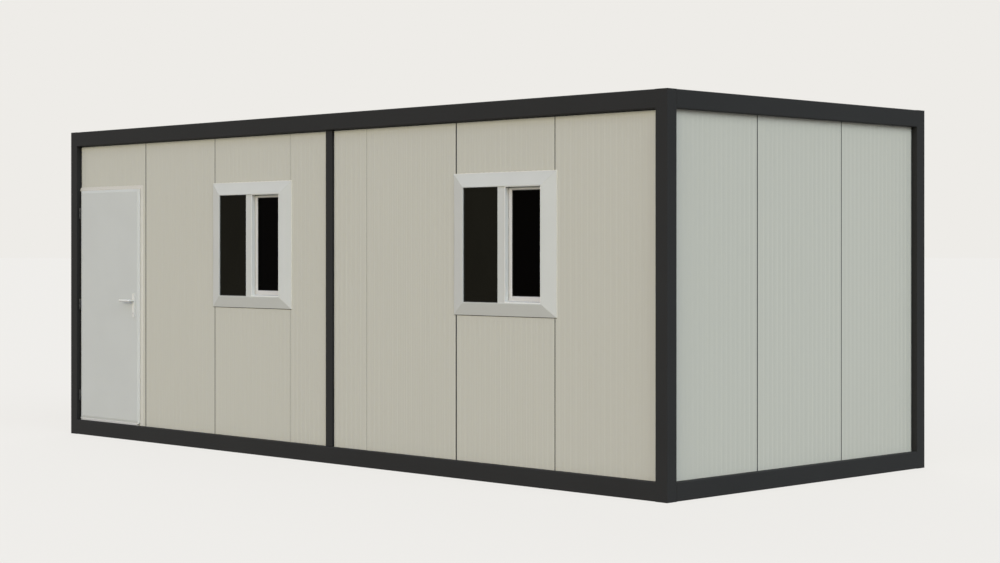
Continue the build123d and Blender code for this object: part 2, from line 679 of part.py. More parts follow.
with BuildPart() as door_leaf:
    pane_of(leaf, leaf_height, lap_depth, LAP_THICK)
    bevel(leaf, leaf_height, grown(leaf, -LEAF_BEVEL), grown(leaf_height, -LEAF_BEVEL), lap_depth,
          LEAF_FACE)
    pane_of(core, core_height, core_depth, LEAF_BACK - core_depth)
    rod(spindle, SPINDLE_BORE, LEAF_FACE, LEAF_BACK, mode=Mode.SUBTRACT)
    rod(cylinder, CYLINDER_BORE, LEAF_FACE, LEAF_BACK, mode=Mode.SUBTRACT)
    slab("front", lock_edge, lock_depth, LOCK_HEIGHT, mode=Mode.SUBTRACT)
door_leaf.part.label = "door_leaf"
export_step(door_leaf.part, "parts/door_leaf.step")

with BuildPart() as lock_plate:
    slab("front", lock_edge, lock_depth, LOCK_HEIGHT)
lock_plate.part.label = "lock_plate"
export_step(lock_plate.part, "parts/lock_plate.step")

# ---------------------------------------------------------------- handle plates, key cylinder and lever
SHAFT = 9.0  # radius of the lever's shaft
BARREL = 8.5  # radius of the key cylinder
PLATE = 9.0  # thickness of a handle plate
PLATE_WIDE = 32.0
PLATE_ROUND = 8.0
PLATE_HEIGHT = (LEVER_HEIGHT - 142, LEVER_HEIGHT + 62)
BARREL_PROUD = 2.0  # key cylinder past the plate
KEYWAY = (2.0, 9.0, 5.0)  # width, height and depth

with BuildPart() as lever_plates:
    for face, outwards in ((LEAF_FACE, 1), (LEAF_BACK, -1)):
        with BuildSketch(front_at(face)) as outline:
            with Locations((spindle[0], (PLATE_HEIGHT[0] + PLATE_HEIGHT[1]) / 2)):
                RectangleRounded(PLATE_WIDE, PLATE_HEIGHT[1] - PLATE_HEIGHT[0], PLATE_ROUND)
            with Locations(spindle):
                Circle(SHAFT + PIN_PLAY, mode=Mode.SUBTRACT)
            with Locations(cylinder):
                Circle(BARREL + PIN_PLAY, mode=Mode.SUBTRACT)
        extrude(outline.sketch, amount=PLATE * outwards)
lever_plates.part.label = "lever_plates"
export_step(lever_plates.part, "parts/lever_plates.step")

with BuildPart() as key_cylinder:
    wide, high, deep = KEYWAY
    outer, inner = LEAF_FACE - PLATE - BARREL_PROUD, LEAF_BACK + PLATE + BARREL_PROUD
    rod(cylinder, BARREL, outer, inner)
    for face in (outer, inner - deep):
        pane_of(grown((cylinder[0], cylinder[0]), wide / 2), grown((cylinder[1], cylinder[1]), high / 2),
                face, deep, mode=Mode.SUBTRACT)
key_cylinder.part.label = "key_cylinder"
export_step(key_cylinder.part, "parts/key_cylinder.step")

GRIP = 10.0  # radius of the lever's neck and grip
GRIP_REACH = 150.0  # lever's axis to the tip
GRIP_END = 6.0  # rounding of the tip
NECK_CLEAR = 1.0  # neck to the plate

with BuildPart() as door_lever:
    out_face, in_face = LEAF_FACE - LEVER_REACH, LEAF_BACK + LEVER_REACH
    rod(spindle, SHAFT, LEAF_FACE - PLATE - NECK_CLEAR, LEAF_BACK + PLATE + NECK_CLEAR)
    for start, axis in ((LEAF_FACE - PLATE - NECK_CLEAR, out_face + GRIP),
                        (LEAF_BACK + PLATE + NECK_CLEAR, in_face - GRIP)):
        x, y = -LENGTH / 2 + spindle[0], FRONT
        with BuildLine() as bar:
            Polyline(
                (x, y + start, spindle[1]), (x, y + axis, spindle[1]),
                (x - GRIP_REACH, y + axis, spindle[1]),
            )
        with BuildSketch(front_at(start)) as disc:
            with Locations(spindle):
                Circle(GRIP)
        sweep(disc.sketch, path=bar.line, transition=Transition.RIGHT)
    tips = door_lever.faces().filter_by(Axis.X).group_by(Axis.X)[0]
    fillet(tips.edges(), GRIP_END)
door_lever.part.label = "door_lever"
export_step(door_lever.part, "parts/door_lever.step")
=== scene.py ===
# %% [markdown]
# # A portable site cabin
#
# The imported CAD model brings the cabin's real pieces: folded steel frame, sandwich panels, two sliding
# windows and a door that swings. This lesson dresses it. It gives every piece a finish made of shader
# nodes, and adds what a joiner or a roofer adds last: seals, screws, beads of sealant, the fine lines
# that are rolled into the panels' steel skins. Then it sets up a plain studio.

import json
import math

import bmesh
import bpy
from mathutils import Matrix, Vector


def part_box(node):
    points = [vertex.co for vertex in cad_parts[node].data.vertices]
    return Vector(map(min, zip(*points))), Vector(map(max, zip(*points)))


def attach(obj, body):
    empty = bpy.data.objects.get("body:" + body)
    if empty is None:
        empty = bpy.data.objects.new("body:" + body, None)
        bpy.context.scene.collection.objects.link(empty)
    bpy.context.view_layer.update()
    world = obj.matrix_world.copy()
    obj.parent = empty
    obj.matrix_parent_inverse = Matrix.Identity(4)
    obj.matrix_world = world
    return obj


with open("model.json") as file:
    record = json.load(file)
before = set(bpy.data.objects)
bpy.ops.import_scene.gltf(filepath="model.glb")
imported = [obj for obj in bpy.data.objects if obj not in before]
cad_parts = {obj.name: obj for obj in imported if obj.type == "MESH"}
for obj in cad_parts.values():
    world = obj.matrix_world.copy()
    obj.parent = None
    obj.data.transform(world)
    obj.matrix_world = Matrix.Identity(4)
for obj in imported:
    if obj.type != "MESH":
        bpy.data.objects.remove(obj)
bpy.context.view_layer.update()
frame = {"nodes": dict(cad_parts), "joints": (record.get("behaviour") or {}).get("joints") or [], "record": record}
nodes = frame["nodes"]

# %% [markdown]
# ## Where things are
#
# A builder sets a cabin out along its four walls. Each wall has its own measures, seen from outside:
# `along` from its left corner, `depth` inwards from the frame's outer face, and the height. One function
# turns those into a point, so every seal and screw is placed the way a fitter would say it. Most of them
# are on the front wall, which is the default. The corners come from the CAD posts, so nothing here
# repeats the cabin's overall size.

# %% Walls and their measures
MM = 0.001
OUT = Vector((0, -1, 0))  # out of the front wall
IN = Vector((0, 1, 0))
UP = Vector((0, 0, 1))
post_low, post_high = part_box("corner_posts")
WALLS = {
    "front": (Vector((post_low.x, post_low.y, 0)), Vector((1, 0, 0)), Vector((0, 1, 0))),
    "right": (Vector((post_high.x, post_low.y, 0)), Vector((0, 1, 0)), Vector((-1, 0, 0))),
    "back": (Vector((post_high.x, post_high.y, 0)), Vector((-1, 0, 0)), Vector((0, -1, 0))),
    "left": (Vector((post_low.x, post_high.y, 0)), Vector((0, -1, 0)), Vector((1, 0, 0))),
}


def point(along, depth, height, wall="front"):
    """A place on a wall, as a point in the cabin's frame."""
    corner, right, inwards = WALLS[wall]
    return corner + right * along + inwards * depth + Vector((0, 0, height))


def measures(place, wall="front"):
    """The along, depth and height of a point: the inverse of point()."""
    corner, right, inwards = WALLS[wall]
    offset = place - corner
    return offset.dot(right), offset.dot(inwards), place.z


def wall_length(wall):
    """The distance between a wall's two outer corners."""
    return abs((post_high - post_low).dot(WALLS[wall][1]))


cabin_long = wall_length("front")

# %% [markdown]
# ## Reading the CAD pieces
#
# A node may hold several separate solids, such as every second panel of a wall. `solids` follows the
# edges from corner to corner to tell them apart, and `extent` measures each of them. The small parts
# are placed by these ranges, each a low and a high value.

# %% Solids and ranges
SAME_POINT = 0.01 * MM  # corners nearer than this are one corner
SAME_PLANE = 0.1 * MM  # faces nearer than this lie in one plane


def solids(node):
    """The corner points of each separate solid in a CAD node."""
    mesh = bmesh.new()
    mesh.from_mesh(nodes[node].data)
    bmesh.ops.remove_doubles(mesh, verts=mesh.verts, dist=SAME_POINT)
    known = set()
    found = []
    for start in mesh.verts:
        if start in known:
            continue
        known.add(start)
        group = [start]
        for corner in group:  # the group grows while it is walked, until the whole solid is in it
            near = [line.other_vert(corner) for line in corner.link_edges]
            group += [other for other in near if other not in known]
            known.update(near)
        found.append([corner.co.copy() for corner in group])
    mesh.free()
    return found


def span(points, axis):
    """Lowest and highest value of some points along one axis, 0 to 2."""
    values = [place[axis] for place in points]
    return min(values), max(values)


def extent(node):
    """The (along, depth, height) ranges of each solid of a node, as measured on the front wall."""
    return [
        [span([measures(place) for place in points], axis) for axis in range(3)]
        for points in solids(node)
    ]


def around(middle, half):
    """A range that reaches equally far both ways."""
    return (middle - half, middle + half)


def inset(reach, margin):
    """A range made shorter by a margin at both ends."""
    return (reach[0] + margin, reach[1] - margin)


print("the front wall has", len(solids("front_panels_odd")), "panels in its odd node")

# %% [markdown]
# ## Shader maths as Python
#
# A procedural finish is a formula, and node trees hide formulas. `Signal` wraps one socket, so that
# `0.5 + 0.1 * grain` adds the Math nodes for it.

# %% Signal


class Signal:
    """A socket's value. Arithmetic on it adds Math nodes to its finish."""

    def __init__(self, finish, socket):
        self.finish = finish
        self.socket = socket

    def math(self, operation, *values):
        return self.finish.node("ShaderNodeMath", {"operation": operation}, dict(enumerate(values)))

    def __add__(self, other):
        return self.math("ADD", self, other)

    def __radd__(self, other):
        return self.math("ADD", other, self)

    def __sub__(self, other):
        return self.math("SUBTRACT", self, other)

    def __rsub__(self, other):
        return self.math("SUBTRACT", other, self)

    def __mul__(self, other):
        return self.math("MULTIPLY", self, other)

    def __rmul__(self, other):
        return self.math("MULTIPLY", other, self)

    def __gt__(self, other):
        return self.math("GREATER_THAN", self, other)

    def __lt__(self, other):
        return self.math("LESS_THAN", self, other)

    def smooth(self, low=0.3, high=0.7):
        """0 below low, 1 above high, and a soft step between them. Noise rarely leaves 0.3 to 0.7."""
        settings = {"interpolation_type": "SMOOTHSTEP"}
        return self.finish.node("ShaderNodeMapRange", settings, {0: self, 1: low, 2: high})


print("sockets can be reckoned with")

# %% [markdown]
# ## A finish
#
# `Finish` is a material with one Principled shader; its `node` method adds any other node. Only what
# changes over a surface goes through nodes. A number that is the same all over is set on the shader's
# own socket, where an export can read it.

# %% Finish


class Finish:
    """A material with one Principled shader, and the nodes that feed it."""

    def __init__(self, name, constants):
        self.material = bpy.data.materials.new(name)
        self.material.use_nodes = True
        self.tree = self.material.node_tree
        self.shader = self.tree.nodes["Principled BSDF"]
        for socket, value in constants.items():
            self.feed(self.shader.inputs[socket], value)

    def feed(self, socket, value):
        if isinstance(value, Signal):
            self.tree.links.new(value.socket, socket)
        else:
            socket.default_value = value

    def node(self, kind, settings=None, sockets=None, out=0):
        """Any node: its settings first, then its sockets, each a value or a Signal."""
        made = self.tree.nodes.new(kind)
        for name, value in (settings or {}).items():
            setattr(made, name, value)
        for name, value in (sockets or {}).items():
            self.feed(made.inputs[name], value)
        return Signal(self, made.outputs[out])

    def place(self, stretch=(1, 1, 1)):
        """The point on the cabin in metres, each axis multiplied by its stretch."""
        at = self.node("ShaderNodeTexCoord", out="Object")
        return self.node("ShaderNodeVectorMath", {"operation": "MULTIPLY"}, {0: at, 1: stretch})

    def axis(self, name):
        """One coordinate of the point on the cabin: X, Y or Z."""
        at = self.node("ShaderNodeTexCoord", out="Object")
        return self.node("ShaderNodeSeparateXYZ", None, {0: at}, out=name)

    def noise(self, size, detail=2.0, stretch=(1, 1, 1)):
        """Cloudy noise from 0 to 1 whose blots are about `size` metres across."""
        sockets = {"Vector": self.place(stretch), "Scale": 1 / size, "Detail": detail}
        return self.node("ShaderNodeTexNoise", None, sockets)

    def cells(self, size):
        """Crystal-like cells about `size` metres across, each a grey of its own from 0 to 1."""
        sockets = {"Vector": self.place(), "Scale": 1 / size}
        tints = self.node("ShaderNodeTexVoronoi", None, sockets, out="Color")
        return self.node("ShaderNodeRGBToBW", None, {0: tints})

    def blend(self, factor, first, second):
        """A colour between two colours."""
        sockets = {0: factor, 6: first, 7: second}
        return self.node("ShaderNodeMix", {"data_type": "RGBA"}, sockets, out=2)

    def colour(self, factor, first, second):
        self.feed(self.shader.inputs["Base Color"], self.blend(factor, first, second))

    def roughness(self, value):
        self.feed(self.shader.inputs["Roughness"], value)

    def bump(self, height, depth):
        """Relief `depth` metres deep where the height signal goes from 0 to 1."""
        relief = self.node("ShaderNodeBump", None, {"Height": height, "Distance": depth})
        self.feed(self.shader.inputs["Normal"], relief)


def shade(red, green, blue):
    """A colour with full alpha, in linear light."""
    return (red, green, blue, 1.0)


def scaled(colour, factor):
    """A lighter or darker version of a colour."""
    return (*(channel * factor for channel in colour[:3]), 1.0)


FINISHES = {}
print("finishes can be made")

# %% [markdown]
# ## Powder coat on the frame
#
# The frame is folded sheet, sprayed with a dry anthracite powder that melts in an oven. Close up such a
# coat has an orange-peel surface a few millimetres across and a satin shine. A plain dark colour looks
# like a hole, so the coat has a faint cloudy tone and its shine changes a little with the peel. Little
# light is mirrored: the powder is a matt one.

# %% Frame coat
ANTHRACITE = shade(0.0245, 0.0245, 0.0245)
coat = Finish("frame_powder_coat", {"Specular IOR Level": 0.04})
cloud = coat.noise(0.9, 3.0)
peel = coat.noise(4 * MM, 1.0)
coat.colour(cloud.smooth(), scaled(ANTHRACITE, 0.96), scaled(ANTHRACITE, 1.05))
coat.roughness(0.42 + 0.10 * peel + 0.06 * cloud)
coat.bump(peel, 0.06 * MM)
FINISHES["frame_steel"] = coat.material
print("frame coat made")

# %% [markdown]
# ## Coil coating on the panels
#
# A panel's skin is steel, painted in the coil before it is rolled, so it is very even. What shows is
# the direction of rolling: faint upright streaks. Noise stretched a hundred times along Z gives those,
# and a broad soft cloud keeps a 7 metre wall from looking printed.

# %% Panel coat
CREAM = shade(0.452, 0.446, 0.392)
skin = Finish("panel_coil_coat", {"Specular IOR Level": 0.28})
rolled = skin.noise(9 * MM, 2.0, stretch=(1, 1, 0.01))
cloud = skin.noise(1.6, 2.0)
tone = 0.6 * rolled + 0.4 * cloud
skin.colour(tone.smooth(), scaled(CREAM, 0.985), scaled(CREAM, 1.015))
skin.roughness(0.40 + 0.10 * rolled)
skin.bump(skin.noise(2.5 * MM, 1.0), 0.02 * MM)
FINISHES["wall_panel"] = skin.material
print("panel coat made")

# %% [markdown]
# ## Window and door plastic
#
# Extruded white PVC has a satin skin with a fine grain in its shine, and a tone that drifts by a percent
# or two. The casings, door and door frame get slightly different whites. The sashes' white is painted
# lighter and cooler for the light that their recess loses, and the trim's much lighter white is a
# painted highlight.
# The enamel of the lever and the hinges takes the same recipe with another colour and shine.

# %% Plastics


def plastic(name, white, shine):
    """Satin plastic: `shine` is its mean roughness."""
    made = Finish(name, {"Specular IOR Level": 0.35})
    drift = made.noise(0.35, 2.0)
    grain = made.noise(1.2 * MM, 1.0)
    made.colour(drift.smooth(), scaled(white, 0.985), scaled(white, 1.015))
    made.roughness(shine + 0.08 * (grain - 0.5))
    made.bump(grain, 0.015 * MM)
    return made.material


FINISHES["window_plastic"] = plastic("window_white_plastic", shade(0.479, 0.489, 0.471), 0.34)
FINISHES["door_plastic"] = plastic("door_white_plastic", shade(0.471, 0.486, 0.473), 0.40)
FINISHES["door_frame"] = plastic("door_frame_cream_plastic", shade(0.498, 0.481, 0.440), 0.40)
# Painted light: lighter and cooler than the casing white, for the light lost in the sash's recess.
SASH_WHITE_PAINTED_LIGHT = shade(0.515, 0.505, 0.492)
for side in ("left", "right"):
    FINISHES[f"window_{side}_sash"] = plastic(f"{side}_sash_painted_light_plastic", SASH_WHITE_PAINTED_LIGHT, 0.34)
# Painted highlight: a much lighter white for the window trims and the door's edge band.
HIGHLIGHT_WHITE = plastic("painted_highlight_white", shade(0.670, 0.675, 0.650), 0.34)
FINISHES["handle_white"] = plastic("handle_white_enamel", shade(0.600, 0.600, 0.570), 0.28)
FINISHES["hinge_metal"] = plastic("hinge_dark_enamel", shade(0.026, 0.027, 0.028), 0.42)
print("plastics made")

# %% [markdown]
# ## Glass, painted dark for the unlit room
#
# Behind the panes the cabin is unlit, and that darkness is painted into the glass as a near black
# colour. The fixed pane is painted a shade lighter, with faint streaks in its tone. The sliding one lies
# deeper in the frame and is painted nearer black, a painted shade of that recess. One material does both:
# it picks its colour by how deep the pane is. Alpha lets a little through.

# %% Glass
BEFORE_SASH = 5 * MM  # the panes part this far in front of the sash
between_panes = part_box("window_left_sash")[0].y - BEFORE_SASH
glass = Finish("glass_painted_dark_for_unlit_room", {"Specular IOR Level": 0.01, "Alpha": 0.96})
streak = glass.noise(0.25, 3.0, stretch=(1, 1, 0.3))
film = streak.smooth(0.35, 0.65)
front_pane_tone = glass.blend(film, shade(0.0088, 0.0083, 0.0060), shade(0.0102, 0.0097, 0.0070))
# Painted shade: panes deeper than this get the near black colour of the recess's shade.
deep = glass.axis("Y") > between_panes
glass.colour(deep, front_pane_tone, shade(0.0007, 0.0005, 0.0004))
glass.roughness(0.05 + 0.05 * streak)
FINISHES["window_glass"] = glass.material
print("glass made, panes divided at y", round(between_panes, 4))

# %% [markdown]
# ## Metals
#
# Galvanised sheet is told by its spangle: zinc crystals a centimetre or two across, each mirroring a
# little differently. Voronoi cells with a random value each are just that. The aluminium threshold and
# the lock's plates are brushed, which is noise drawn out along one axis.

# %% Zinc, aluminium and steel
zinc = Finish("galvanised_sheet", {"Metallic": 0.85})
spangle = zinc.cells(16 * MM)
weather = zinc.noise(0.4, 3.0)
zinc.colour(spangle, shade(0.30, 0.31, 0.32), shade(0.43, 0.44, 0.45))
zinc.roughness(0.34 + 0.22 * spangle + 0.12 * weather)
zinc.bump(zinc.noise(3 * MM, 1.0), 0.02 * MM)
FINISHES["galvanised"] = zinc.material


def brushed(name, metal, stretch, rough):
    """Metal ground along the axis whose stretch is small."""
    made = Finish(name, {"Metallic": 0.9})
    lines = made.noise(0.8 * MM, 2.0, stretch=stretch)
    made.colour(lines, scaled(metal, 0.86), scaled(metal, 1.08))
    made.roughness(rough + 0.14 * lines)
    made.bump(lines, 0.02 * MM)
    return made.material


FINISHES["threshold_metal"] = brushed("threshold_aluminium", shade(0.52, 0.52, 0.51), (0.02, 1, 1), 0.34)
FINISHES["lock_metal"] = brushed("lock_steel", shade(0.50, 0.49, 0.47), (1, 1, 0.02), 0.26)
print("metals made")

# %% [markdown]
# ## Floor and ceiling
#
# The deck is film-faced board, seen from below between the joists. On it lies a sheet of grey vinyl
# with small chips of lighter and darker grey. The ceiling is a white laminate with a fine texture.

# %% Boards and vinyl
board = Finish("deck_board", {"Specular IOR Level": 0.3})
grain = board.noise(6 * MM, 4.0, stretch=(0.04, 1, 1))
knots = board.noise(0.12, 2.0, stretch=(0.2, 1, 1))
figure = 0.7 * grain + 0.3 * knots
board.colour(figure.smooth(), shade(0.19, 0.115, 0.058), shade(0.36, 0.24, 0.135))
board.roughness(0.55 + 0.2 * grain)
board.bump(grain, 0.15 * MM)
FINISHES["deck_board"] = board.material

vinyl = Finish("floor_vinyl", {"Specular IOR Level": 0.35})
chips = vinyl.cells(7 * MM)
vinyl.colour(chips.smooth(0.25, 0.75), shade(0.16, 0.165, 0.17), shade(0.29, 0.295, 0.30))
vinyl.roughness(0.42 + 0.12 * chips)
vinyl.bump(vinyl.noise(1.5 * MM, 2.0), 0.05 * MM)
FINISHES["floor_vinyl"] = vinyl.material

laminate = Finish("ceiling_laminate", {"Specular IOR Level": 0.3})
tooth = laminate.noise(2 * MM, 2.0)
laminate.colour(tooth, shade(0.66, 0.66, 0.64), shade(0.72, 0.72, 0.70))
laminate.roughness(0.45 + 0.15 * tooth)
laminate.bump(tooth, 0.04 * MM)
FINISHES["ceiling_board"] = laminate.material
print("floor and ceiling finishes made")

# %% [markdown]
# ## Rubber, sealant and seals
#
# Four small materials make a cabin look finished: black rubber round glass, pale sealant run round the
# casings with a wet finger, and two seals of the door, a grey one on the stop and a pale one under the
# leaf's lap. The black rubber also paints shade in strips at joints and edges, the sealant is lighter
# than the wall and paints bounce light beside the casings, and the pale seal paints light into gaps that
# would be in shade.

# %% Soft small materials


def elastic(name, dark, light, rough):
    """Rubber or sealant with a slightly uneven skin."""
    made = Finish(name, {"Specular IOR Level": 0.3})
    skin_noise = made.noise(5 * MM, 2.0)
    made.colour(skin_noise.smooth(), dark, light)
    made.roughness(rough + 0.1 * skin_noise)
    made.bump(skin_noise, 0.1 * MM)
    return made.material


# Black rubber, also used for strips that paint shade in joints, under the roof beams and under the casings.
BLACK_RUBBER_AND_SHADE = elastic("black_rubber_and_painted_shade", shade(0.010, 0.010, 0.010), shade(0.018, 0.018, 0.018), 0.5)
DOOR_SEAL = elastic("grey_door_seal", shade(0.16, 0.16, 0.155), shade(0.21, 0.21, 0.205), 0.55)
# Pale sealant, lighter than the wall: it also paints the bounce light beside the casings.
SEALANT_AND_BOUNCE = elastic("pale_sealant_and_painted_bounce", shade(0.52, 0.505, 0.445), shade(0.56, 0.545, 0.485), 0.35)
# Pale seal: paints light into door gaps that would be in shade.
PALE_SEAL_PAINTED_LIGHT = elastic("pale_lip_seal_painted_light", shade(0.56, 0.55, 0.52), shade(0.62, 0.61, 0.58), 0.45)
print("rubber and sealant_and_bounce made")

# %% [markdown]
# ## Dress the CAD pieces
#
# The record names a finish for each CAD node, and the door frame and the sashes have one of their own
# that goes before it, so one loop dresses them all. Sheared and moulded edges are never knife sharp: a
# narrow bevel on them catches a line of light. The import splits vertices at every sharp edge, so a Weld
# modifier joins them before the Bevel modifier runs.

# %% Finishes and eased edges
SHARP = 35  # degrees from which an edge counts as sharp
EASED = {  # bevel widths in millimetres
    "window_left_frame": 1.2, "window_right_frame": 1.2, "window_left_sash": 1.2,
    "window_right_sash": 1.2, "door_frame": 1.2, "door_leaf": 1.2, "lever_plates": 1.4,
    "door_lever": 1.0, "mid_posts": 2.0, "hinge_brackets": 0.6, "hinge_leaves": 0.6,
    "key_cylinder": 0.4, "threshold": 0.8, "skirting": 1.5, "ceiling_trim": 1.5,
}


def ease(node, width):
    """Rounds a CAD node's sharp edges, `width` metres each way, with modifiers alone."""
    weld = nodes[node].modifiers.new("weld", "WELD")
    weld.merge_threshold = SAME_POINT
    edge = nodes[node].modifiers.new("eased edge", "BEVEL")
    edge.width = width
    edge.segments = 2
    edge.limit_method = "ANGLE"
    edge.angle_limit = math.radians(SHARP)


for part in frame["record"]["subparts"]:
    shape = nodes[part["node"]]
    for slot in shape.material_slots:
        slot.material = FINISHES.get(part["node"], FINISHES[part["material_slot"]])
for node, width in EASED.items():
    ease(node, width * MM)

# %% [markdown]
# ## Making a piece
#
# Every added piece starts as a bmesh, and one function turns it into an object. A piece of the same stuff
# as a CAD node takes that node's finish by its slot. Seals, which the CAD doesn't have, bring a material
# of their own.

# %% From mesh to piece


def add(name, data):
    """Puts a mesh, lamp or camera into the scene as an object."""
    made = bpy.data.objects.new(name, data)
    bpy.context.scene.collection.objects.link(made)
    return made


def add_mesh(name, mesh, material):
    """Puts a bmesh into the scene, with one material."""
    data = bpy.data.meshes.new(name)
    mesh.to_mesh(data)
    mesh.free()
    data.materials.append(material)
    return add(name, data)


def piece(name, mesh, material=None, body="cabin", slot=None, smooth=SHARP):
    """Turns a bmesh into an object that rides on a CAD body, with a material or a slot's finish."""
    bmesh.ops.recalc_face_normals(mesh, faces=mesh.faces)
    made = add_mesh(name, mesh, material or FINISHES[slot])
    made.data.polygons.foreach_set("use_smooth", [True] * len(made.data.polygons))
    made.data.set_sharp_from_angle(angle=math.radians(smooth))
    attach(made, body)
    print(name, "has", len(made.data.polygons), "faces")


print("pieces can be made")

# %% [markdown]
# ## Mouldings
#
# Seals, beads and trims have one section all along, and mitred corners. `moulding` sweeps the section
# along a path on the front wall and leans each ring of it into the corner.

# %% Moulding


def loop_faces(mesh, rings, closed=False):
    """Joins rows of vertices, each row closed on itself, and the last row to the first if closed."""
    pairs = list(zip(rings, rings[1:])) + ([(rings[-1], rings[0])] if closed else [])
    for first, second in pairs:
        for at in range(len(first)):
            following = (at + 1) % len(first)
            mesh.faces.new((first[at], first[following], second[following], second[at]))


def moulding(mesh, path, profile, closed=True):
    """Sweeps a closed profile along a path of (along, height) points, with mitred corners.

    A profile point is (to the right of the path, depth). Round a rectangle listed from its lower left
    corner to the right, the right of the path is outside.
    """
    runs = zip(path, path[1:] + path[:1])
    ways = [(Vector(stop) - Vector(start)).normalized() for start, stop in runs]
    sides = [Vector((way.y, -way.x)) for way in ways]
    rings = []
    for at, corner in enumerate(path):
        before = sides[at - 1] if closed or at else sides[at]
        after = sides[at] if closed or at < len(path) - 1 else before
        mitre = (before + after) / (1 + before.dot(after))
        spots = [(Vector(corner) + mitre * out, depth) for out, depth in profile]
        rings.append([mesh.verts.new(point(spot.x, depth, spot.y)) for spot, depth in spots])
    loop_faces(mesh, rings, closed)
    if not closed:
        mesh.faces.new(rings[0])
        mesh.faces.new(rings[-1])


def rectangle(along, height, grow=0.0):
    """A rectangle's corners from the lower left to the right, grown outwards."""
    left, right = inset(along, -grow)
    low, high = inset(height, -grow)
    return [(left, low), (right, low), (right, high), (left, high)]


print("mouldings can be run")

# %% [markdown]
# ## Turned parts
#
# Screws, caps and bosses are round, so `turned` revolves a profile as a lathe does. Pushing the last
# rings in and out four times round gives a screw's cross recess without cutting it.

# %% Turned parts and screws
SUNK = 0.3 * MM  # how far a piece is let into what it sits on
PAN_HEAD = [(1, 0.35), (0.86, 0.8), (0.58, 1), (0.5, 1), (0.4, 0.3)]  # shares of radius and rise


def turned(mesh, centre, axis, profile, segments, lobe=0.0):
    """Revolves (radius, height) points about an axis. A lobe makes the last radii a cross recess."""
    axis = axis.normalized()
    side = axis.orthogonal().normalized()
    other = axis.cross(side)
    rings = []
    for at, (radius, height) in enumerate(profile):
        ring = []
        recessed = lobe if at >= len(profile) - 2 else 0.0
        for step in range(segments):
            angle = 2 * math.pi * step / segments
            reach = radius * (1 + recessed * math.cos(4 * angle))
            spot = side * (math.cos(angle) * reach) + other * (math.sin(angle) * reach)
            ring.append(mesh.verts.new(centre + spot + axis * height))
        rings.append(ring)
    loop_faces(mesh, rings)
    mesh.faces.new(rings[0])
    mesh.faces.new(rings[-1])


def screw(mesh, centre, outwards, radius=3 * MM):
    """A pan head screw with a cross recess, its seat at the centre."""
    rise = radius * 0.5
    profile = [(radius, -SUNK)] + [(radius * wide, rise * high) for wide, high in PAN_HEAD]
    turned(mesh, centre, outwards, profile, segments=16, lobe=0.35)


print("parts can be turned")

# %% [markdown]
# ## Blocks
#
# Strips and catches are bars. Knife-sharp edges look drawn, so `block` rounds them in the mesh itself.

# %% Block


def block(mesh, along, depth, height, round_off=0.0, wall="front"):
    """A bar that fills a range each of along, depth and height, its edges rounded."""
    corners = [point(a, d, h, wall) for h in height for d in depth for a in along]
    verts = [mesh.verts.new(corner) for corner in corners]
    sides = [(0, 1, 3, 2), (4, 5, 7, 6), (0, 1, 5, 4), (2, 3, 7, 6), (0, 2, 6, 4), (1, 3, 7, 5)]
    faces = [mesh.faces.new([verts[at] for at in side]) for side in sides]
    if round_off:
        edges = list(dict.fromkeys(edge for face in faces for edge in face.edges))
        bmesh.ops.bevel(mesh, geom=edges, offset=round_off, segments=2, profile=0.6, affect="EDGES")


print("blocks can be cut")

# %% [markdown]
# ## Lines rolled into the panels
#
# The skins of such panels are stiffened by shallow flats about 25 millimetres wide, raised by a little
# less than a millimetre, every 51 millimetres. Light rakes over their edges and draws the fine upright
# lines that tell a sandwich panel from a board. A bump map would vanish in an exported mesh, so they are
# real: for each panel, a row of low trapezoid bars on its outer and its inner face.

# %% Rolled lines
LINE_PITCH = 51.2 * MM
LINE_RISE = 0.9 * MM
LINE_SLOPE = 3.0 * MM


def raised_line(mesh, wall, along, height, face, out):
    """One raised flat on a panel's face. out is -1 on the outer face and 1 on the inner one."""
    section = [
        (along[0], face - out * SUNK),
        (along[0], face),
        (along[0] + LINE_SLOPE, face + out * LINE_RISE),
        (along[1] - LINE_SLOPE, face + out * LINE_RISE),
        (along[1], face),
        (along[1], face - out * SUNK),
    ]
    rings = [[mesh.verts.new(point(a, d, level, wall)) for a, d in section] for level in height]
    loop_faces(mesh, rings)
    mesh.faces.new(rings[0])
    mesh.faces.new(rings[1])


def lines_on(wall, node):
    """Rolled lines on every panel of a CAD node."""
    mesh = bmesh.new()
    for points in solids(node):
        spots = [measures(place, wall) for place in points]
        height = span(spots, 2)
        for face, out in zip(span(spots, 1), (-1, 1)):
            flat = [spot for spot in spots if abs(spot[1] - face) < SAME_PLANE]
            start, stop = span(flat, 0)
            count = max(1, round((stop - start) / LINE_PITCH))
            pitch = (stop - start) / count
            for at in range(count):
                left = start + pitch * (at + 0.25)  # the middle half of each pitch is raised
                raised_line(mesh, wall, (left, left + pitch / 2), height, face, out)
    piece("lines_" + node, mesh, slot="wall_panel", smooth=5)


PANELS = {
    "front": (
        "front_panels_even", "front_panels_odd", "front_panel_over_door", "front_strip_beside_door",
        "window_head_panels", "window_sill_panels",
    ),
    "right": ("right_panels_even", "right_panels_odd"),
    "back": ("back_panels_even", "back_panels_odd"),
    "left": ("left_panels_even", "left_panels_odd"),
}
for wall, names in PANELS.items():
    for name in names:
        lines_on(wall, name)

# %% [markdown]
# ## Strips in the joints
#
# A black strip is pressed into the joint between two panels, and it also paints the shade of the gap.
# Its cap laps a few millimetres over both faces, wider in some joints than in others, which makes the
# painted shade wider there. Where the last panel of a bay is pushed home there is no gap to speak of, and
# only a fine bead. The gaps are found from the panels themselves.

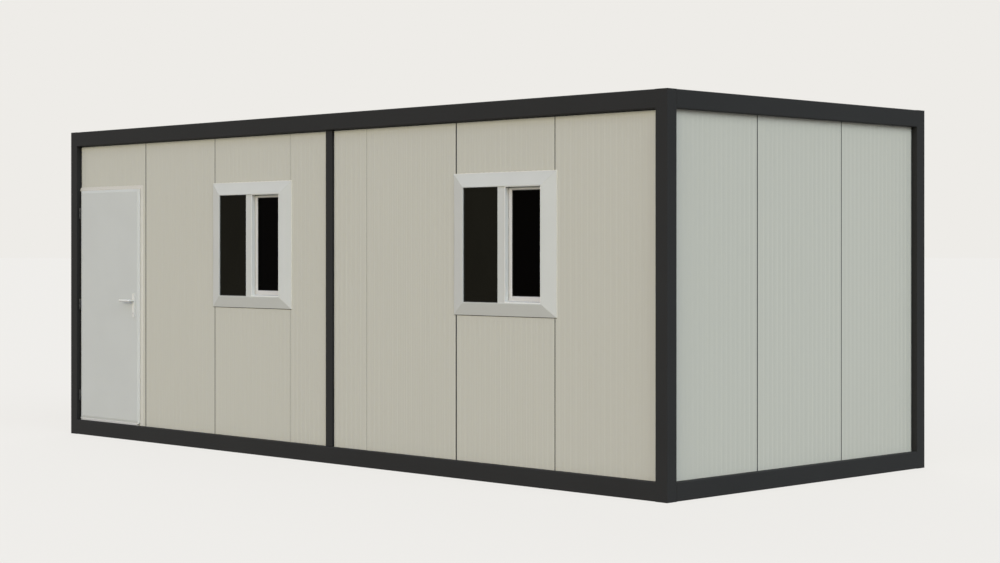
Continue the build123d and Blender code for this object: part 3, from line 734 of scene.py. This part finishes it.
# %% Joint strips
# The cap widths set how wide each joint's painted shade reads.
CAPS = {"front": (8, 6.5, 1.4, 1.4, 12, 7), "right": (9, 7.5)}  # cap widths in millimetres, from the left
PLAIN_CAP = 10
CAP_LAPS = 8  # most that a cap is wider than its gap
WIDEST_GAP = 9 * MM
FACE = extent("front_panels_odd")[0][1][0]  # depth of the wall's outer face
CAP_DEPTH = (FACE - 0.8 * MM, FACE + 0.6 * MM)
CAP_ROUND = 0.3 * MM


def joints_of(wall):
    """The gaps between the panels that reach the foot of a wall, from left to right."""
    outer = []
    for node in PANELS[wall]:
        for points in solids(node):
            spots = [measures(place, wall) for place in points]
            front = [spot for spot in spots if abs(spot[1] - FACE) < SAME_PLANE]
            outer.append((span(front, 0), span(spots, 2)))
    foot = min(height[0] for _, height in outer)
    standing = sorted(along for along, height in outer if height[0] < foot + SAME_PLANE)
    gaps = [(left[1], right[0]) for left, right in zip(standing, standing[1:])]
    return [gap for gap in gaps if gap[1] - gap[0] < WIDEST_GAP]


wall_low = min(height[0] for _, _, height in extent("front_panels_odd"))
wall_high = max(height[1] for _, _, height in extent("front_panels_odd"))
mesh = bmesh.new()
for wall in WALLS:
    found = joints_of(wall)
    for at, gap in enumerate(found):
        cap = CAPS[wall][at] if wall in CAPS else PLAIN_CAP
        half = min(cap, (gap[1] - gap[0]) / MM + CAP_LAPS) / 2 * MM
        block(mesh, around(sum(gap) / 2, half), CAP_DEPTH, (wall_low, wall_high), CAP_ROUND, wall)
    print(wall, "joints at", [round(sum(gap) / 2, 3) for gap in found])
piece("joint_strips_with_painted_shade", mesh, BLACK_RUBBER_AND_SHADE)

# %% [markdown]
# ## Strips at the frame
#
# A flat strip closes each wall against its corner posts, and a narrower one closes the front against the
# right of the middle post. Beside the door the strip starts above the door's casing, which closes the
# wall there. A narrow black foam tape closes the long walls against the roof beams, and paints the shade
# that falls just under them.

# %% Post strips and top shade tapes
STRIP_DEPTH = (FACE - 1 * MM, FACE + 1 * MM)
STRIP_ROUND = 0.4 * MM
POST_STRIP = 11 * MM
MID_POST_STRIP = 5 * MM
TOP_SHADE_TAPE = 8 * MM
ABOVE_DOOR = 20 * MM  # from the foot of the panel over the door to the strip's foot
post_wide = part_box("left_panels_odd")[0].y - post_low.y
over_door = extent("front_panel_over_door")[0][2][0]
mid_right = extent("mid_posts")[0][0][1]
mesh = bmesh.new()
for wall in WALLS:
    foot = over_door + ABOVE_DOOR if wall == "front" else wall_low
    stop = wall_length(wall) - post_wide
    start_strip = (post_wide, post_wide + POST_STRIP)
    block(mesh, start_strip, STRIP_DEPTH, (foot, wall_high), STRIP_ROUND, wall)
    block(mesh, (stop - POST_STRIP, stop), STRIP_DEPTH, (wall_low, wall_high), STRIP_ROUND, wall)
mid_strip = (mid_right, mid_right + MID_POST_STRIP)
block(mesh, mid_strip, STRIP_DEPTH, (wall_low, wall_high), STRIP_ROUND)
piece("post_strips", mesh, BLACK_RUBBER_AND_SHADE)

# Painted shade: a black tape just under each long roof beam.
mesh = bmesh.new()
for wall in ("front", "back"):
    between_posts = inset((0, cabin_long), post_wide)
    block(mesh, between_posts, STRIP_DEPTH, (wall_high - TOP_SHADE_TAPE, wall_high), STRIP_ROUND, wall)
piece("top_shade_tapes", mesh, BLACK_RUBBER_AND_SHADE)

# %% [markdown]
# ## Seams of the frame
#
# The beams are welded between the corner posts, and the seams are ground nearly flush before the frame
# is sprayed. A narrow bar just below the face stands for each, and closes the folded edges' groove.

# %% Frame seams
SEAM_REACH = (-4 * MM, 2 * MM)  # to the left and the right of a beam's end
SEAM_DEPTH = (0.5 * MM, 5 * MM)
SEAM_SHORT = 1 * MM  # left bare above and below
mesh = bmesh.new()
for wall in WALLS:
    for beam in ("base_beams_long", "roof_beams_long"):
        height = inset(extent(beam)[0][2], SEAM_SHORT)
        for seam in inset((0, wall_length(wall)), post_wide):
            block(mesh, [seam + way for way in SEAM_REACH], SEAM_DEPTH, height, wall=wall)
piece("frame_seams", mesh, slot="frame_steel")

# %% [markdown]
# ## Window gaskets
#
# Each window has a fixed pane near the outer face and a sliding one behind it. A rubber wedge holds each
# pane in its rebate, outside and inside. It could be four bars, but their ends would show at the corners.
# So it is a moulding, swept round the opening with mitred corners, as a glazier presses it in.

# %% Gaskets
WEDGE = 4.5 * MM  # rubber seen round a pane
LIP_RISE = 1.4 * MM  # how far the wedge stands off the pane at its lip
BACK_RISE = 2.4 * MM  # and where it meets the frame
GLAZING_LEDGE = 14 * MM  # ledge over the edge of the fixed pane's back
WINDOWS = {}  # measures of each window's parts


def gasket(mesh, along, height, depth, out):
    """A rubber wedge round the inside of an opening. out is -1 on a pane's outer face."""
    lip = (-WEDGE * 0.8, depth + out * LIP_RISE)
    profile = [(0, depth), (-WEDGE, depth), lip, (0, depth + out * BACK_RISE)]
    moulding(mesh, rectangle(along, height), profile)


for side in ("left", "right"):
    casing = extent(f"window_{side}_frame")[0]
    sash = extent(f"window_{side}_sash")[0]
    fixed, sliding = sorted(extent(f"window_{side}_glass"), key=lambda pane: pane[1][0])
    WINDOWS[side] = {"casing": casing, "sash": sash, "fixed": fixed}
    mesh = bmesh.new()
    along, depth, height = fixed
    gasket(mesh, along, height, depth[0], -1)
    gasket(mesh, (along[0] + GLAZING_LEDGE, along[1]), inset(height, GLAZING_LEDGE), depth[1], 1)
    along, depth, height = sliding
    gasket(mesh, along, height, depth[0], -1)
    gasket(mesh, along, height, depth[1], 1)
    piece(f"window_{side}_gaskets", mesh, BLACK_RUBBER_AND_SHADE)

# %% [markdown]
# ## Welded corners of the casings
#
# A plastic casing is sawn at 45 degrees and welded, which leaves a fine raised seam on each mitre, from
# the casing's corner to the rim round the light.

# %% Mitre seams
RIM = 6 * MM  # flat rim round the light, where the slopes end
CASING_OUTER = FACE - 6 * MM  # depth of the casing's outer edge
SEAM_HALF = 0.9 * MM
SEAM_RISE = 0.2 * MM


def mitre_seam(mesh, start, stop):
    """A hair-thin ridge between two points given as (along, depth, height)."""
    first = point(*start)
    last = point(*stop)
    side = (last - first).cross(OUT).normalized() * SEAM_HALF
    rise = OUT * SEAM_RISE
    rings = [
        [mesh.verts.new(end + offset) for offset in (-side - rise, -side, rise, side, side - rise)]
        for end in (first, last)
    ]
    loop_faces(mesh, rings)
    mesh.faces.new(rings[0])
    mesh.faces.new(rings[1])


for side, window in WINDOWS.items():
    along, depth, height = window["casing"]
    light = (window["fixed"][0][0], window["sash"][0][1])
    rim = rectangle(light, window["fixed"][2], RIM)
    mesh = bmesh.new()
    for (a, h), (rim_a, rim_h) in zip(rectangle(along, height), rim):
        mitre_seam(mesh, (a, CASING_OUTER, h), (rim_a, depth[0], rim_h))
    piece(f"window_{side}_mitre_seams", mesh, slot="window_plastic")

# %% [markdown]
# ## Highlight trim of the sliding half
#
# A trim of much lighter white lines the half in front of the sliding sash. It is a painted highlight
# along the rim, and painted light on faces that lie in the recess's shade. It starts at the mullion, whose
# edge is read from the casing's own corner points.

# %% Trim
MULLION_FACE = 18 * MM  # depth of the mullion's face
MULLION_REACH = 60 * MM  # most that its face runs past the sash's edge
TRIM_FRONT = 12 * MM
TRIM_BACK = 44 * MM
TRIM_WIDE = 6 * MM
TRIM_PROFILE = [(0, TRIM_FRONT), (-TRIM_WIDE, TRIM_FRONT), (-TRIM_WIDE, TRIM_BACK), (0, TRIM_BACK)]

for side, window in WINDOWS.items():
    spots = [measures(place) for place in solids(f"window_{side}_frame")[0]]
    sash_left, sash_right = window["sash"][0]
    low, high = window["fixed"][2]
    on_mullion = [a for a, d, _ in spots if abs(d - MULLION_FACE) < SAME_PLANE]
    mullion_right = max(a for a in on_mullion if a < sash_left + MULLION_REACH)
    mesh = bmesh.new()
    opening = rectangle((mullion_right, sash_right), (low, high + TRIM_WIDE / 2))
    moulding(mesh, opening, TRIM_PROFILE)
    # Painted highlight: the trim's lighter white.
    piece(f"window_{side}_highlight_trim", mesh, HIGHLIGHT_WHITE)

# %% [markdown]
# ## Sealant and shade strips
#
# A pale bead of sealant closes the joint between a casing and the wall at the top and the sides. Lighter
# than the wall, it also paints the bounce light beside the casing. A black strip under the casing paints
# the shade that falls below its lower edge.

# %% Sealant round the windows
WINDOW_BEAD = 6 * MM
BEAD_HIDDEN = 0.2 * MM  # how far its back corner lies in casing and wall
SHADE_STRIP_HIGH = 3.5 * MM
SHADE_STRIP_SHORT = 3 * MM  # left bare at each end
SHADE_STRIP_DEPTH = (FACE - 4 * MM, FACE + 0.5 * MM)


def bead(mesh, path, size):
    """A quarter-round bead of sealant on the wall, along a casing's outer edge."""
    steps = [math.radians(angle) for angle in (0, 22.5, 45, 67.5, 90)]
    curve = [(size * (1 - math.sin(a)), FACE - size * (1 - math.cos(a))) for a in steps]
    moulding(mesh, path, [(-BEAD_HIDDEN, FACE + BEAD_HIDDEN), *curve], closed=False)


for side, window in WINDOWS.items():
    along, _, height = window["casing"]
    corners = rectangle(along, height)
    mesh = bmesh.new()
    bead(mesh, corners[1:] + corners[:1], WINDOW_BEAD)
    # Painted bounce light: the bead is lighter than the wall.
    piece(f"window_{side}_sealant_and_bounce", mesh, SEALANT_AND_BOUNCE)

    # Painted shade: a black strip under the casing's lower edge.
    mesh = bmesh.new()
    dark_strip_height = (height[0] - SHADE_STRIP_HIGH, height[0])
    block(mesh, inset(along, SHADE_STRIP_SHORT), SHADE_STRIP_DEPTH, dark_strip_height, round_off=0.6 * MM)
    piece(f"window_{side}_shade_strip", mesh, BLACK_RUBBER_AND_SHADE)

# %% [markdown]
# ## Window catch
#
# Inside, a sliding sash is locked by a small cam lever on its meeting stile. It is a rounded base plate
# with a turned boss and a short thumb piece.

# %% Catches
STILE_MIDDLE = 40 * MM  # from the sash's edge to the middle of its meeting stile
PLATE_HALF = (9 * MM, 38 * MM)  # half the plate's width and height
PLATE_THICK = 5 * MM
BOSS = [(8 * MM, 0), (8 * MM, 5 * MM), (6.5 * MM, 7 * MM)]  # radius and height
THUMB_HALF = 6 * MM
THUMB_HIGH = 34 * MM
THUMB_DEPTH = (6 * MM, 13 * MM)  # behind the sash
CATCH_SCREWS = (-28 * MM, 28 * MM)  # below and above the middle

for side, window in WINDOWS.items():
    along, depth, height = window["sash"]
    stile, back, middle = along[0] + STILE_MIDDLE, depth[1], sum(height) / 2
    plate = back + PLATE_THICK
    plate_height = around(middle, PLATE_HALF[1])
    mesh = bmesh.new()
    block(mesh, around(stile, PLATE_HALF[0]), (back, plate), plate_height, round_off=2 * MM)
    turned(mesh, point(stile, plate, middle), IN, BOSS, segments=24)
    thumb_depth = [back + part for part in THUMB_DEPTH]
    block(mesh, around(stile, THUMB_HALF), thumb_depth, (middle, middle + THUMB_HIGH), round_off=2.5 * MM)
    for off in CATCH_SCREWS:
        screw(mesh, point(stile, plate, middle + off), IN)
    piece(f"window_{side}_catch", mesh, slot="window_plastic")

# %% [markdown]
# ## Door seals
#
# The leaf laps its frame by 15 millimetres at the lock side and the top, and closes against a stop
# behind. A grey tube seal stands on the stop. A pale lip seal hides the gap under the lap, and a flat one
# the gap under the leaf; their pale colour paints light into gaps that would read as dark shade. All of
# them stay with the cabin when the door opens.

# %% Seals round the door
leaf_along, leaf_depth, leaf_height = extent("door_leaf")[0]
door_along, _, door_height = extent("door_frame")[0]
tread_along, tread_depth, tread_height = extent("threshold")[0]
STOP_FACE = tread_depth[1] - 8 * MM
LAP = 15 * MM
STOP_SEAL_INSET = LAP + 7 * MM  # from the leaf's edge to the middle of the seal
STOP_SEAL = (3.4 * MM, 3.3 * MM)  # half its width and half its depth
LAP_SEAL_INSET = 3.8 * MM
LAP_SEAL = (3.6 * MM, 2.3 * MM)
LAP_SEAL_DEPTH = 33 * MM
FOOT_SEAL_DEPTH = (leaf_depth[0] + 1 * MM, leaf_depth[0] + 8 * MM)
FOOT_SEAL_HEIGHT = (tread_height[1] - 0.5 * MM, leaf_height[0] - 0.3 * MM)


def tube(depth, wide, deep):
    """The round section of a hollow seal."""
    turns = [math.radians(30 * step) for step in range(12)]
    return [(wide * math.cos(angle), depth + deep * math.sin(angle)) for angle in turns]


def three_sides(margin):
    """Up the hinge side, over the top and down the lock side, inside the leaf's edge."""
    hinge_side, lock_side = inset(leaf_along, margin)
    foot, top = tread_height[1], leaf_height[1] - margin
    return [(hinge_side, foot), (hinge_side, top), (lock_side, top), (lock_side, foot)]


mesh = bmesh.new()
section = tube(STOP_FACE - STOP_SEAL[0], *STOP_SEAL)
moulding(mesh, three_sides(STOP_SEAL_INSET), section, closed=False)
piece("door_stop_seal", mesh, DOOR_SEAL)

mesh = bmesh.new()
section = tube(LAP_SEAL_DEPTH, *LAP_SEAL)
moulding(mesh, three_sides(LAP_SEAL_INSET)[1:], section, closed=False)
block(mesh, leaf_along, FOOT_SEAL_DEPTH, FOOT_SEAL_HEIGHT, round_off=0.5 * MM)
# Painted light: pale seals where the gaps would be in shade.
piece("door_lap_seal_with_painted_light", mesh, PALE_SEAL_PAINTED_LIGHT)

# %% [markdown]
# ## Door edges
#
# A band of the lighter trim white covers the leaf's edge at the lock side and turns with the door: a
# painted highlight on that edge. A black strip runs along the threshold's foot. The door's casing is
# bedded on the wall with the same pale sealant as the windows, in a thinner bead.

# %% Edge band, drip strip and sealant
BAND_DEPTH = (leaf_depth[0] + 6 * MM, leaf_depth[0] + 15 * MM)
BAND_ALONG = (leaf_along[1] - 0.5 * MM, leaf_along[1] + 0.4 * MM)
BAND_SHORT = 1 * MM  # left bare below and above
TREAD_DARK_STRIP_DEPTH = (tread_depth[0] - 0.6 * MM, tread_depth[0] + 1 * MM)
TREAD_DARK_STRIP_SHORT = 2 * MM
TREAD_DARK_STRIP_HIGH = 4.5 * MM
DOOR_BEAD = 2.5 * MM

mesh = bmesh.new()
block(mesh, BAND_ALONG, BAND_DEPTH, inset(leaf_height, BAND_SHORT), round_off=0.2 * MM)
# Painted highlight on the leaf's lock-side edge.
piece("door_edge_highlight_band", mesh, HIGHLIGHT_WHITE, body="door")

# A black strip along the threshold's foot.
mesh = bmesh.new()
dark_strip_height = (tread_height[0], tread_height[0] + TREAD_DARK_STRIP_HIGH)
block(mesh, inset(tread_along, TREAD_DARK_STRIP_SHORT), TREAD_DARK_STRIP_DEPTH, dark_strip_height, round_off=0.3 * MM)
piece("threshold_dark_strip", mesh, BLACK_RUBBER_AND_SHADE)

mesh = bmesh.new()
corners = rectangle(door_along, door_height)
bead(mesh, corners[1:], DOOR_BEAD)
piece("door_frame_sealant", mesh, SEALANT_AND_BOUNCE)

# %% [markdown]
# ## Hinge caps
#
# Each hinge knuckle ends in a domed cap on the line that the door turns about, which comes from the joint
# itself. Caps of the leaf's knuckles ride on the door.

# %% Caps
DOME = [(7 * MM, 0), (7 * MM, 1 * MM), (5.9 * MM, 2.4 * MM), (3.5 * MM, 3.3 * MM), (0.8 * MM, 3.6 * MM)]
swing = next(joint for joint in frame["joints"] if joint["name"] == "door_swing")
pin_along, pin_depth, _ = measures(Vector(swing["pos_m"]))


def hinge_caps(name, node, end, way, body):
    """A domed cap on one end of each knuckle of a hinge node."""
    caps = bmesh.new()
    for _, _, height in extent(node):
        turned(caps, point(pin_along, pin_depth, height[end]), UP * way, DOME, segments=24)
    piece(name, caps, body=body, slot="hinge_metal")


hinge_caps("hinge_caps_upper", "hinge_leaves", 1, 1, "door")
hinge_caps("hinge_caps_lower", "hinge_brackets", 0, -1, "cabin")

# %% [markdown]
# ## Screws of the lock
#
# The lever plates, the lock's faceplate and the strike have two small screws each, one near either end.
# Screws on the leaf ride on the door, and those of the strike stay with the cabin.

# %% Lock screws
LEVER_PLATE_ENDS = 10 * MM  # from a plate's ends to its screws
LOCK_PLATE_ENDS = 8 * MM
STRIKE_ENDS = 9 * MM
LEVER_PLATE_SCREW = 3.2 * MM  # radius

mesh = bmesh.new()
for along, depth, height in extent("lever_plates"):
    face, out = (depth[0], OUT) if depth[0] < leaf_depth[0] else (depth[1], IN)
    for h in inset(height, LEVER_PLATE_ENDS):
        screw(mesh, point(sum(along) / 2, face, h), out, LEVER_PLATE_SCREW)
for along, depth, height in extent("lock_plate"):
    for h in inset(height, LOCK_PLATE_ENDS):
        screw(mesh, point(along[1], sum(depth) / 2, h), Vector((1, 0, 0)))
piece("lock_screws", mesh, body="door", slot="lock_metal")

mesh = bmesh.new()
for along, depth, height in extent("strike_plate"):
    for h in inset(height, STRIKE_ENDS):
        screw(mesh, point(along[0], sum(depth) / 2, h), Vector((-1, 0, 0)))
piece("strike_screws", mesh, slot="lock_metal")

# %% [markdown]
# ## Roof fixings
#
# A trapezoid roof sheet is screwed down through its valleys, with a hexagon head on a broad washer. Every
# second valley is fixed, in four rows along the cabin. The valleys lie midway between the sheet's
# crowns, which are read from its own corner points.

# %% Roof screws
EDGE_ROW = 40 * MM  # from the sheet's edge to its outer row of screws
WASHER = [(8 * MM, -SUNK), (8 * MM, 1.2 * MM), (6.6 * MM, 2 * MM)]  # radius and height
HEAD = [(4.6 * MM, 1.5 * MM), (4.6 * MM, 6 * MM), (3.9 * MM, 6.8 * MM)]
SHEET_THICK = 1 * MM
CROWN_DEPTH = 0.5 * MM  # corner points this near the sheet's highest are on a crown
roof_low, roof_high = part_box("roof_sheet")
sheet_points = solids("roof_sheet")[0]
on_top = [place for place in sheet_points if place.z > roof_high.z - CROWN_DEPTH]
top_lines = sorted({round(place.x, 4) for place in on_top})
crowns = [sum(pair) / 2 for pair in zip(top_lines[::2], top_lines[1::2])]
valleys = [sum(pair) / 2 for pair in zip(crowns, crowns[1:])]
fixing_rows = [
    roof_low.y + EDGE_ROW, (roof_low.y * 2 + roof_high.y) / 3,
    (roof_low.y + roof_high.y * 2) / 3, roof_high.y - EDGE_ROW,
]
mesh = bmesh.new()
for x in valleys[::2]:
    for y in fixing_rows:
        seat = Vector((x, y, roof_low.z + SHEET_THICK))
        turned(mesh, seat, UP, WASHER, segments=16)
        turned(mesh, seat, UP, HEAD, segments=6)
piece("roof_screws", mesh, slot="galvanised")
print(len(crowns), "crowns and", len(valleys[::2]) * len(fixing_rows), "roof screws")

# %% [markdown]
# ## Floor and ceiling details
#
# The vinyl is laid in widths of about 1.7 metres, so welded seams cross the floor. The ceiling boards meet
# under flat cover strips.

# %% Inside details
floor_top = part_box("floor_covering")[1].z
ceiling_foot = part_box("ceiling")[0].z
room_depth = extent("floor_covering")[0][1]
FLOOR_SEAM_HALF = 2 * MM
FLOOR_SEAM_HEIGHT = (floor_top - 0.5 * MM, floor_top + 0.4 * MM)
COVER_HALF = 20 * MM
COVER_HEIGHT = (ceiling_foot - 3 * MM, ceiling_foot + 0.5 * MM)
COVER_SHORT = 8 * MM  # clear of the ceiling's trims


def crossings(count):
    """Places along the cabin that cut it into equal bays."""
    return [cabin_long / (count + 1) * at for at in range(1, count + 1)]


mesh = bmesh.new()
for a in crossings(3):
    block(mesh, around(a, FLOOR_SEAM_HALF), room_depth, FLOOR_SEAM_HEIGHT, round_off=0.3 * MM)
piece("floor_seams", mesh, slot="floor_vinyl")

mesh = bmesh.new()
for a in crossings(5):
    block(mesh, around(a, COVER_HALF), inset(room_depth, COVER_SHORT), COVER_HEIGHT, round_off=1 * MM)
piece("ceiling_cover_strips", mesh, slot="ceiling_board")

# %% [markdown]
# ## Studio: backdrop
#
# The cabin stands in a pale room with no corners. The world and the floor show the same off-white to
# the eye, to mirrors and to glass, which hides the horizon. For the light that they send on to the
# cabin they use their own, plainer level.

# %% World
PAPER = shade(0.855, 0.8388, 0.8069)
SKY = 0.45  # what the world sends to the cabin


class Set(Finish):
    """A world or floor tree: like a Finish, but its output is built from scratch."""

    def __init__(self, tree, output):
        self.tree = tree
        tree.nodes.clear()
        self.output = tree.nodes.new(output)

    def seen(self):
        """1 for a ray that the camera, a mirror or glass sends out, and 0 for light."""
        rays = ("Is Camera Ray", "Is Glossy Ray", "Is Transmission Ray")
        camera, mirror, glass_ray = [self.node("ShaderNodeLightPath", out=ray) for ray in rays]
        total = camera + mirror + glass_ray
        return total.math("MINIMUM", total, 1.0)


world = bpy.data.worlds.new("studio")
world.use_nodes = True
bpy.context.scene.world = world
backdrop = Set(world.node_tree, "ShaderNodeOutputWorld")
shown = backdrop.node("ShaderNodeBackground", None, {"Color": PAPER, "Strength": 1.0})
lit = backdrop.node("ShaderNodeBackground", None, {"Color": shade(1, 1, 1), "Strength": SKY})
mixed = backdrop.node("ShaderNodeMixShader", None, {0: backdrop.seen(), 1: lit, 2: shown})
backdrop.feed(backdrop.output.inputs["Surface"], mixed)
print("world made")

# %% [markdown]
# ## Studio: floor
#
# The floor is mostly glow and a tenth real paint, so that the cabin's shadow still lies on it, faint and
# soft.

# %% Floor
BOUNCE = 0.20  # what the floor sends up to the cabin
SHADOW = 0.10  # share of the floor that is real paint
FLOOR_RADIUS = 400  # metres, far enough for its edge to vanish

ground = bpy.data.materials.new("studio_floor")
ground.use_nodes = True
paper = Set(ground.node_tree, "ShaderNodeOutputMaterial")
seen = paper.seen()
strength = BOUNCE + (1 - BOUNCE) * seen
glow = paper.node("ShaderNodeEmission", None, {"Color": PAPER, "Strength": strength})
paint = paper.node("ShaderNodeBsdfDiffuse", None, {"Color": scaled(PAPER, 0.92)})
floor_mix = paper.node("ShaderNodeMixShader", None, {0: 1 - SHADOW, 1: paint, 2: glow})
paper.feed(paper.output.inputs["Surface"], floor_mix)

mesh = bmesh.new()
bmesh.ops.create_circle(mesh, cap_ends=True, segments=64, radius=FLOOR_RADIUS)
studio_floor = add_mesh("studio_floor", mesh, ground)
print("floor made")

# %% [markdown]
# ## Studio: lamps
#
# Very soft lamps shape the walls. A warm one comes from the front and low, so that almost no shade falls
# below the roof beam, and a cooler one from the right. The two visible walls then differ in tint, and the
# window casings show their slopes. A faint blue one from above stands for open sky. Together with the
# world they add up to about 1 on each wall, at which a colour renders as written. The far lamp keeps the
# back and the left wall from going dull.

# %% Lamps


def lamp(name, towards, strength, tint, angle):
    """A sun lamp that shines from a direction, `angle` degrees wide.

    A strength of 1 lights a surface that faces the lamp to its own colour.
    """
    data = bpy.data.lights.new(name, "SUN")
    data.energy = strength * math.pi
    data.color = tint
    data.angle = math.radians(angle)
    add(name, data).rotation_euler = Vector(towards).to_track_quat("Z", "Y").to_euler()
    print(name, "hung")


lamp("front_lamp", (0.201, -0.945, 0.259), 0.722, (1.0, 0.917, 0.632), 50)
lamp("high_lamp", (0.0, -0.77, 0.64), 0.187, (0.05, 0.16, 1.0), 50)
lamp("right_lamp", (0.82, -0.07, 0.57), 0.762, (0.786, 0.904, 1.0), 50)
lamp("far_lamp", (-0.6, 0.6, 0.4), 0.60, (1.0, 1.0, 1.0), 60)

# %% [markdown]
# ## Camera
#
# The camera stands at eye height, about 13 metres from the near corner post, and looks level, so that
# upright edges stay upright. The small shift moves the view without tilting the camera.

# %% Camera
view = bpy.data.cameras.new("camera")
view.lens = 71.68
view.sensor_width = 36.0
view.shift_y = -0.0314
view.clip_end = 1000
camera = add("camera", view)
camera.location = (11.892, -11.387, 1.6455)
camera.rotation_euler = (math.radians(90), 0, math.radians(45.06))
bpy.context.scene.camera = camera
bpy.context.scene.view_settings.view_transform = "Standard"
print("camera set")
